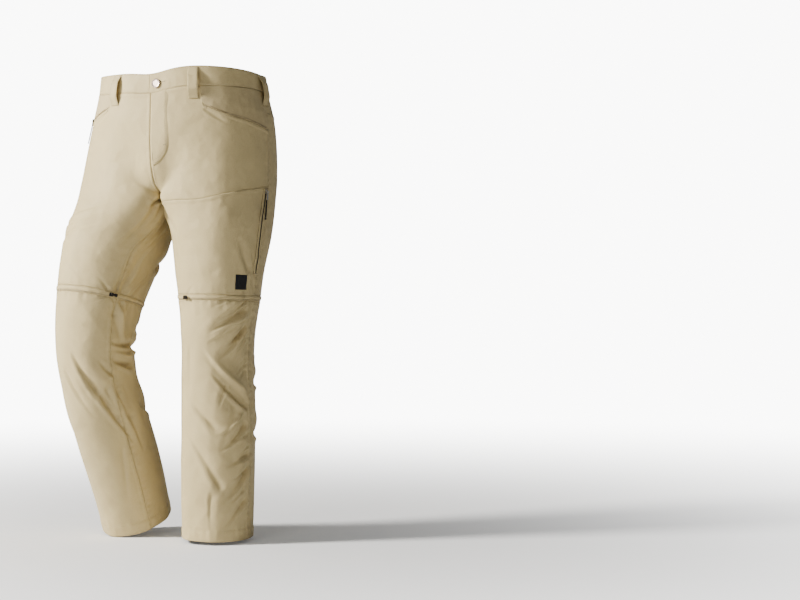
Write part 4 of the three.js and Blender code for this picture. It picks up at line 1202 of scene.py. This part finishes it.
class TROUSERS_OT_knee_zips(bpy.types.Operator):
    """Lay the folded flaps over the knee zips"""

    bl_idname = "trousers.knee_zips"
    bl_label = "Knee zip bands"

    def execute(self, context):
        for k, side in enumerate(SIDES):
            us = np.linspace(0, 1, 197)
            heights = np.array([0, 0.5, 1.2, 2.6, 4.4, 6.4, 7.2, 7.8, 8.6, 9.6, 10.4])
            u, drops = np.meshgrid(us, ZIP_DROP - ZIP_BAND / 2 + SEAM / 2 + heights)
            share = np.broadcast_to(heights[:, None], u.shape)
            flap = 1.1 * smooth((share - 0.1) / 2.2) * (1 - smooth((share - 6.9) / 0.8))
            pulls = 0.3 * ripple(u * GIRTH, 13, 90 + k) * smooth(u / 0.05) * smooth((1 - u) / 0.05)
            lift = flap - 0.15 * bell(share, 0.6) + pulls
            # Painted shadow: the band darkens below the flap's edge, over a slight darkening of the whole
            # band.
            wear_and_shade = 1.2 * smooth((share - 4.5) / 3.2) + 0.35
            points = cloth_point(side, u, drops, lift)
            spec = {"wall": FLAP_CLOTH}
            piece = laid_cloth(f"cloth_knee_zip_band_{side}", side, points, u * GIRTH, drops, spec, wear_and_shade)
            weld(piece.data, 2e-5)
            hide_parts(f"knee_zip_band_{side}")
            declare_sheet(points)
        return {"FINISHED"}


def fly_rim(inset):
    """How the fly's cloth sinks to the hip's towards its outer edge."""
    return -1.5 * bell(inset, 5)


class TROUSERS_OT_waist(bpy.types.Operator):
    """Lay the waistband, the fly, the pocket facings and the belt loops"""

    bl_idname = "trousers.waist"
    bl_label = "Waist"

    def execute(self, context):
        zero = lambda u: np.zeros(np.shape(u))
        edges = ("turned", "tucked", "turned", "tucked")
        small = puckers(110, 0.2, 10, 10, ("bottom",))
        panel("waistband_front_left", "left", [-FLY_OVERLAP, 0.5], zero, waist_seam,
              {"edges": edges, "relief": small, "crumple": 0.2})
        panel("waistband_front_right", "right", [FLY_OVERLAP, 0.5], zero, waist_seam,
              {"edges": edges, "relief": small, "crumple": 0.2})

        def gathers(u, drops, away):
            where = (u - ELASTIC_FROM) / (ELASTIC_TO - ELASTIC_FROM)
            reach = smooth(where / 0.12) * smooth((1 - where) / 0.12)
            height = 0.35 + 0.65 * smooth(away["bottom"] / 12) * smooth((away["top"] + 8) / 14)
            return reach * height * (0.55 + 0.75 * ripple(u * GIRTH, 8.9, 120))

        for side in SIDES:
            panel(f"waistband_back_{side}", side, [0.5, 1], zero, waist_seam,
                  {"edges": ("tucked", "tucked", "turned", "tucked"), "relief": gathers, "crumple": 0.2})
            self.facing(side)
        self.fly()
        self.loops()
        return {"FINISHED"}

    def facing(self, side):
        us = half_seams(spread_lines([POCKET_CORNER_U * GIRTH, 0.5 * GIRTH], sizes().spacing)) / GIRTH
        shares = np.linspace(0, 1, 18)[:, None]
        top = waist_seam(us) + SEAM / 2
        bottom = pocket_edge(us) - POCKET_LIFT[side] - SEAM / 2
        drops = top + (bottom - top) * shares
        lean = (POCKET_TOP_U - POCKET_CORNER_U) * (1 - shares)
        fade = np.clip((0.27 - us) / (0.27 - us[0]), 0, 1)
        u = us + lean * fade
        below = bottom - drops
        lift = -0.2 * bell(below, 5) - 0.35 * bell(drops - top, 1.1)
        # Darker towards the pocket's edge: partly wear, partly painted shade.
        wear_and_shade = bell(below, 4)
        piece = strip_object(f"cloth_pocket_facing_{side}", side, u, drops,
                             {"lift": lift, "finish": "pocket_facing_cloth", "slot": "facing_nylon",
                              "wear_and_shade": wear_and_shade})
        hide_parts(f"pocket_facing_{side}")

    def fly(self):
        us = spread_lines([FLY_EDGE * GIRTH, FLY_WIDTH * GIRTH], 3) / GIRTH
        toe = FLY_DROP + (FLY_TOE - FLY_DROP) * np.sqrt(np.clip(1 - (us / FLY_WIDTH) ** 2, 0, 1))
        top = waist_seam(us) + SEAM / 2
        shares = np.linspace(0, 1, 46)[:, None]
        drops = top + (toe - SEAM / 2 - top) * shares
        u = np.broadcast_to(us, drops.shape)
        rim = np.minimum((us[-1] - u) * GIRTH, toe - SEAM / 2 - drops)
        lift = fly_rim(rim) - 0.25 * bell((u - us[0]) * GIRTH, 0.9)
        # Darker along the fly's edges: partly wear, partly painted shade.
        wear_and_shade = 0.35 * bell(np.minimum(rim, (u - us[0]) * GIRTH), 3)
        piece = strip_object("cloth_fly_placket", "left", u, drops,
                             {"out": FLY_OUT, "lift": lift, "wear_and_shade": wear_and_shade, "wall": 1.0})
        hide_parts("fly_placket")

    def loops(self):
        for name, middle in LOOPS:
            for side in SIDES:
                self.loop(f"belt_loop_{name}_{side}", side, middle)
        self.loop("belt_loop_centre_back", "left", 1.0)

    def loop(self, name, side, middle):
        shares = np.array([0, 0.012, 0.03, 0.06, 0.09, 0.13, 0.18, 0.24, 0.3, 0.38, 0.46,
                           0.54, 0.62, 0.7, 0.76, 0.82, 0.87, 0.91, 0.94, 0.97, 0.988, 1])
        across = np.array([-0.5, -0.47, -0.4, -0.25, 0, 0.25, 0.4, 0.47, 0.5])
        a, drops = np.meshgrid(across, LOOP_TOP + (LOOP_BOTTOM - LOOP_TOP) * shares)
        bow = LOOP_BOW * smooth((0.5 - np.abs(shares - 0.5)) / 0.33)
        ends = np.minimum(shares, 1 - shares) * (LOOP_BOTTOM - LOOP_TOP)
        edge = (0.5 - np.abs(a)) * LOOP_WIDTH * GIRTH
        lift = bow[:, None] - 0.45 * bell(edge, 0.8) - 0.5 * bell(ends, 1.2)[:, None]
        # Darker along the loop's edges and ends: partly wear, partly painted shade.
        wear_and_shade = bell(np.minimum(edge, ends[:, None]), 3)
        if name == "belt_loop_centre_back":
            points = cloth_point(side, np.full(drops.shape, middle), drops, LOOP_OUT + lift)
            points[..., 0] = a * LOOP_WIDTH * GIRTH * -1
            beside = a * LOOP_WIDTH * GIRTH
            piece = laid_cloth(f"cloth_{name}", side, points, beside, drops, {"wall": LOOP_CLOTH}, wear_and_shade)
            declare_sheet(points)
        else:
            u = middle + LOOP_WIDTH * a
            piece = strip_object(f"cloth_{name}", side, u, drops,
                                 {"out": LOOP_OUT, "lift": lift, "wear_and_shade": wear_and_shade, "wall": LOOP_CLOTH})
        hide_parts(name)


class TROUSERS_OT_trims(bpy.types.Operator):
    """Lay the zip tapes, the back pocket's welt and the bare label"""

    bl_idname = "trousers.trims"
    bl_label = "Tapes, welt and label"

    def execute(self, context):
        self.tape()
        self.welt()
        self.label()
        return {"FINISHED"}

    def tape(self):
        drops = np.arange(CARGO_FROM, CARGO_TO + 0.1, 2.0)
        across = np.array([-6, -5.6, -4.5, -2.2, -0.9, 0.9, 2.2, 4.5, 5.6, 6])
        a, d = np.meshgrid(across, drops)
        u = cargo_zip(d) + a / GIRTH
        lift = -0.3 * bell(TAPE_HALF - np.abs(a), 0.6) + 0.15 * bell(a, 1.5)
        piece = strip_object("tape_cargo_zip_left", "left", u, d,
                             {"out": LIE + 0.9, "lift": lift, "finish": "dark_zip_tape", "slot": "zip_tape",
                              "rests_on": ["cargo_pocket_left"]})
        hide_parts("cargo_zip_left")
        widths = np.array([1.5, 1.7, 2.2, 3.2, 4.6, 5.6, 6.1, 6.3])
        for name, way in (("front", -1), ("back", 1)):
            a, d = np.meshgrid(np.sort(way * widths), drops)
            rim = np.minimum(np.abs(a) - widths[0], widths[-1] - np.abs(a))
            lift = 0.15 * ripple(d, 13, 130 + way) - 0.5 * bell(rim, 0.6)
            # The lips darken towards their edges: partly wear, partly painted shade.
            strip_object(f"cloth_cargo_zip_lip_{name}", "left", cargo_zip(d) + a / GIRTH, d,
                         {"out": LIE + 1.8, "lift": lift, "wear_and_shade": 0.7 * bell(rim, 1.0), "wall": 0.7,
                          "sewn_down": True})

    def welt(self):
        middles = np.linspace(WELT_FROM, WELT_TO, 70)
        across = np.array([-6, -5.5, -4.3, -2, -1.0, -0.6, 0.6, 1.0, 2, 4.3, 5.5, 6])
        a, m = np.meshgrid(across, middles)
        lift = -0.35 * bell(TAPE_HALF - np.abs(a), 0.7) - 0.55 * bell(a, 0.8)
        # Painted shade down the welt's middle, where the zip lies in its groove.
        wear_and_shade = bell(a, 1.5)
        piece = strip_object("cloth_back_pocket_welt_right", "right", welt(m), m + a,
                             {"out": LIE + 0.9, "lift": lift, "wear_and_shade": wear_and_shade})
        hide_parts("back_pocket_welt_right")

    def label(self):
        us = np.linspace(LABEL_LEFT, LABEL_RIGHT, 25)
        drops = np.linspace(LABEL_TOP, LABEL_BOTTOM, 29)
        u, d = np.meshgrid(us, drops)
        beside = np.minimum((u - LABEL_LEFT) * GIRTH, (LABEL_RIGHT - u) * GIRTH)
        rim = np.minimum(beside, np.minimum(d - LABEL_TOP, LABEL_BOTTOM - d))
        lift = -0.35 * bell(rim, 0.7) + 0.12 * bell(rim - 2.4, 0.8)
        look = {"out": LIE + 0.8, "lift": lift, "wall": 0.8,
                "finish": "bare_black_label", "slot": "black_label"}
        piece = strip_object("cloth_label_left", "left", u, d, look)
        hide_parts("label_left")


class TROUSERS_OT_inner_seams(bpy.types.Operator):
    """Lay the pressed seam allowances along the inside of the seams"""

    bl_idname = "trousers.inner_seams"
    bl_label = "Inner seams"

    def execute(self, context):
        across = np.array([-5, -4.6, -3.4, -1.6, 0, 1.6, 3.4, 4.6, 5])
        for side in SIDES:
            hem = HEM_DROP[side] - 1.0
            self.along_leg(f"side_{side}", side, across, 2, hem, 0.5)
            self.along_leg(f"inseam_{side}", side, across, CROTCH_DROP + 16, hem, 1.0)
            rear, front = np.linspace(0.502, 0.998, 90), np.linspace(0.004, 0.498, 90)
            mouth = np.linspace(POCKET_CORNER_U + 0.004, 0.498, 60)
            self.across_leg(f"yoke_{side}", side, across, rear, yoke_seam(rear))
            self.across_leg(f"waist_back_{side}", side, across, rear, waist_seam(rear))
            self.across_leg(f"waist_front_{side}", side, across, front, waist_seam(front))
            self.across_leg(f"pocket_{side}", side, across, mouth, pocket_edge(mouth) - POCKET_LIFT[side])
            around = np.linspace(0.001, 0.999, 180)
            self.across_leg(f"knee_{side}", side, across * 2.3, around, np.full(around.shape, ZIP_DROP + 0.0))
        seam = np.linspace(0.004, 0.498, 90)
        self.across_leg("cargo_left", "left", across, seam, cargo_seam(seam))
        for name, middle, low in (("front", 0.0, 4), ("back", 1.0, 2)):
            drops = np.repeat(np.arange(low, CROTCH_DROP + 18.0, 3)[:, None], len(across), 1)
            shift = np.abs(across) / GIRTH
            u = np.broadcast_to(shift if middle == 0 else 1 - shift, drops.shape)
            halves = [cloth_point(side, u, drops, INNER_SEAM) for side in ("right", "left")]
            points = np.where((across > 0)[None, :, None], halves[1], halves[0])
            points[:, across == 0, 0] = 0
            self.lay(f"centre_{name}", "right" if middle == 1 else "left", points, across, drops)
        return {"FINISHED"}

    def along_leg(self, name, side, across, top, bottom, middle):
        drops = np.repeat(np.arange(top, bottom, 5.0)[:, None], len(across), 1)
        u = np.broadcast_to(middle + across / GIRTH, drops.shape)
        u = np.where(u > 1, u - 1, u)
        self.lay(name, side, cloth_point(side, u, drops, INNER_SEAM), across, drops)

    def across_leg(self, name, side, across, us, middles):
        drops = middles + across[:, None]
        u = np.broadcast_to(us, drops.shape)
        self.lay(name, side, cloth_point(side, u, drops, INNER_SEAM), us * GIRTH, drops)

    def lay(self, name, side, points, across, drops):
        laid_cloth(f"inner_seam_{name}", side, points, across, drops, {"wall": INNER_CLOTH})


def run_of(count=220):
    return np.linspace(0, 1, count)


def sewn_lines():
    """Every line of sewing, by group: side, us, drops and height over the form."""
    t = run_of()
    felled, lying = 0.62, THREAD_LIFT
    lines = {group: [] for group in ("fronts", "backs", "waist", "knees", "hems", "trims")}

    def row(group, *line):
        lines[group].append(line)

    crotch = HIP_DROP + 20
    for side in SIDES:
        hem = HEM_DROP[side]
        for inset in (1.9, 5.9):
            away = inset / GIRTH
            for low, high in ((176, 266 if side == "left" else 459), (473, hem - 2)):
                d = low + (high - low) * t
                row("fronts", side, away, d, felled)
            if side == "left":
                row("fronts", side, away, 272 + 187 * t, felled)
            row("fronts", side, 0.5 - away, 122 + (459 - 122) * t, felled)
            row("fronts", side, 0.5 - away, 473 + (hem - 475) * t, felled)
            mouth = POCKET_CORNER_U + 0.012 + (0.495 - POCKET_CORNER_U - 0.012) * t
            row("fronts", side, mouth, pocket_top(side)(mouth) + inset, felled)
            yoke = 0.505 + 0.49 * t
            row("backs", side, yoke, yoke_seam(yoke) + inset, felled)
        for inset in (1.6, 6.2):
            row("backs", side, 1 - inset / GIRTH, 100 + (crotch + 75 - 100) * t, lying)
        around = 0.003 + 0.994 * t
        row("knees", side, around, ZIP_DROP - ZIP_BAND / 2 - 2.0, lying)
        row("knees", side, around, ZIP_DROP + ZIP_BAND / 2 + 2.2, lying)
        row("knees", side, around, ZIP_DROP - 4.0, 0.95)
        row("hems", side, around, hem - 23.0, 0.3)
        start = -0.008 if side == "left" else FLY_OVERLAP + 0.004
        band = start + (0.497 - start) * t
        rear = 0.503 + 0.494 * t
        for u in (band, rear):
            row("waist", side, u, 2.4, 0.05)
            row("waist", side, u, waist_seam(u) - 2.0, 0.02)
    seam = 0.006 + 0.488 * t
    for inset in (1.9, 7.6):
        row("fronts", "left", seam, cargo_seam(seam) + inset, felled if inset < 6 else 0.1)
    bend = t * math.pi / 2
    for inset in (3, 7):
        width = FLY_WIDTH - inset / GIRTH
        straight = 46 + (FLY_DROP - 46) * t
        out = FLY_OUT + THREAD_LIFT + fly_rim(inset)
        row("waist", "left", width, straight, out)
        toe = FLY_DROP + (FLY_TOE - FLY_DROP - inset) * np.sin(bend)
        row("waist", "left", width * np.cos(bend), toe, out)
    for inset in (-5.1, 5.1):
        d = CARGO_FROM + 1 + (CARGO_TO - CARGO_FROM - 2) * t
        row("trims", "left", cargo_zip(d) + inset / GIRTH, d, LIE + 1.84)
        m = WELT_FROM + 0.5 + (WELT_TO - WELT_FROM - 1) * t
        row("trims", "right", welt(m), m + inset * 0.94, LIE + 0.9)
    for _, middle in LOOPS:
        for side in SIDES:
            for across in (-0.36, 0.36):
                shares = 0.02 + 0.96 * t
                bow = LOOP_BOW * smooth((0.5 - np.abs(shares - 0.5)) / 0.33)
                d = LOOP_TOP + (LOOP_BOTTOM - LOOP_TOP) * shares
                row("trims", side, middle + across * LOOP_WIDTH, d, LIE + 1.42 + bow)
    return lines


class TROUSERS_OT_sewing(bpy.types.Operator):
    """Sew the seams, hems, edges and bar tacks"""

    bl_idname = "trousers.sewing"
    bl_label = "Sewing"

    def execute(self, context):
        size = sizes()
        for group, lines in sewn_lines().items():
            bm = bmesh.new()
            for side, us, drops, out in lines:
                points, ways = line_points(side, us, drops, out)
                sew(bm, points, ways, size.stitch_pitch, size.stitch_length, size.thread)
            finish_mesh(f"stitches_{group}", bm, "khaki_thread", "khaki_nylon")
        bm = bmesh.new()
        for side, u, drop, out, along, length in self.tacks():
            count = round(length / 0.7)
            for k in range(count):
                step = (k - count / 2) * 0.7
                place = u + along[0] * step / GIRTH, drop + along[1] * step
                where = frame_at(side, *place, out, (along[1], -along[0]))
                matrix = where @ Matrix.Diagonal((1.3 * MM, 0.42 * MM, 0.34 * MM, 1))
                bmesh.ops.create_icosphere(bm, subdivisions=1, radius=1, matrix=matrix)
        finish_mesh("bar_tacks", bm, "khaki_thread", "khaki_nylon")
        return {"FINISHED"}

    def tacks(self):
        tacks = [("left", 0.012, 163, 1.9, (0, 1), 9), ("left", 0.074, 150, 1.95, (1, 0), 8)]
        tacks.append(("left", 0.062, 23, 0.12, (1, 0), 12))
        for side in SIDES:
            for _, middle in LOOPS:
                for drop in (LOOP_TOP + 4, LOOP_BOTTOM - 4):
                    tacks.append((side, middle, drop, LIE + 1.5, (1, 0), 15))
            tacks.append((side, POCKET_CORNER_U + 0.012, float(pocket_top(side)(0.248)) + 3, 0.7, (0, 1), 8))
            tacks.append((side, 0.494, float(pocket_top(side)(0.49)) + 3, 0.7, (0, 1), 8))
        tacks += [("right", u, drop, LIE + 1.0, (0, 1), 11) for drop, u in (WELT[0], WELT[-1])]
        tacks += [("left", u, drop, LIE + 1.9, (1, 0), 11) for u, drop in CARGO_TACKS]
        return tacks


class TROUSERS_OT_zip_teeth(bpy.types.Operator):
    """Set the coils of the zips"""

    bl_idname = "trousers.zip_teeth"
    bl_label = "Zip teeth"

    def execute(self, context):
        t = run_of(400)
        d = CARGO_FROM + 3 + (CARGO_TO - CARGO_FROM - 5) * t
        m = WELT_FROM + 1 + (WELT_TO - WELT_FROM - 2) * t
        mouth = 0.262 + (0.486 - 0.262) * t
        around = 0.002 + 0.996 * t
        runs = {
            "cargo": [("left", cargo_zip(d), d, LIE + 1.15, 0.8)],
            "back_pocket": [("right", welt(m), m, LIE + 0.75, 0.7)],
            "hand_pockets": [(side, mouth, pocket_edge(mouth) - POCKET_LIFT[side] - 2.4, 0.1, 0.7)
                             for side in SIDES],
            "knees": [(side, around, np.full(t.shape, ZIP_DROP + 3.1), -0.15, 0.7)
                      for side in SIDES],
        }
        for name, lines in runs.items():
            bm = bmesh.new()
            for side, us, drops, out, half in lines:
                points, ways = line_points(side, us, drops, out)
                for k, (place, x, z) in enumerate(zip(*along_line(points, ways, sizes().tooth_pitch / 2))):
                    turn = turn_matrix(x, z)
                    shift = Matrix.Translation((0, (half if k % 2 else -half) * 0.55 * MM, 0))
                    scale = Matrix.Diagonal((0.36 * MM, half * MM, 0.5 * MM, 1))
                    matrix = Matrix.Translation(Vector(place) * MM) @ turn @ shift @ scale
                    bmesh.ops.create_cube(bm, size=2, matrix=matrix)
            finish = "coil_black" if name == "cargo" else "coil_khaki"
            slot = "zip_tape" if name == "cargo" else "khaki_nylon"
            finish_mesh(f"teeth_{name}", bm, finish, slot, smooth_faces=False)
        return {"FINISHED"}


class TROUSERS_PT_panel(bpy.types.Panel):
    """Shows the sizes, the colours and a button for each step that builds the trousers"""

    bl_idname = "TROUSERS_PT_panel"
    bl_label = "Zip-off trousers"
    bl_space_type = "VIEW_3D"
    bl_region_type = "UI"
    bl_category = "Trousers"

    def draw(self, context):
        for group in (context.scene.trouser_sizes, context.scene.trouser_colours):
            for name in group.bl_rna.properties.keys():
                if name not in ("rna_type", "name"):
                    self.layout.prop(group, name)
        for step in STEPS:
            self.layout.operator(step.bl_idname)


STEPS = (
    TROUSERS_OT_finishes,
    TROUSERS_OT_stage,
    TROUSERS_OT_cords,
    TROUSERS_OT_upper_panels,
    TROUSERS_OT_lower_legs,
    TROUSERS_OT_knee_zips,
    TROUSERS_OT_waist,
    TROUSERS_OT_inner_seams,
    TROUSERS_OT_trims,
    TROUSERS_OT_sewing,
    TROUSERS_OT_zip_teeth,
)
CLASSES = (TrouserSizes, TrouserColours, *STEPS, TROUSERS_PT_panel)


def register():
    for part in CLASSES:
        bpy.utils.register_class(part)
    bpy.types.Scene.trouser_sizes = PointerProperty(type=TrouserSizes)
    bpy.types.Scene.trouser_colours = PointerProperty(type=TrouserColours)


def unregister():
    del bpy.types.Scene.trouser_colours
    del bpy.types.Scene.trouser_sizes
    for part in reversed(CLASSES):
        bpy.utils.unregister_class(part)


def main():
    register()
    for step in STEPS:
        getattr(bpy.ops.trousers, step.bl_idname.split(".")[1])()


if __name__ == "__main__":
    main()
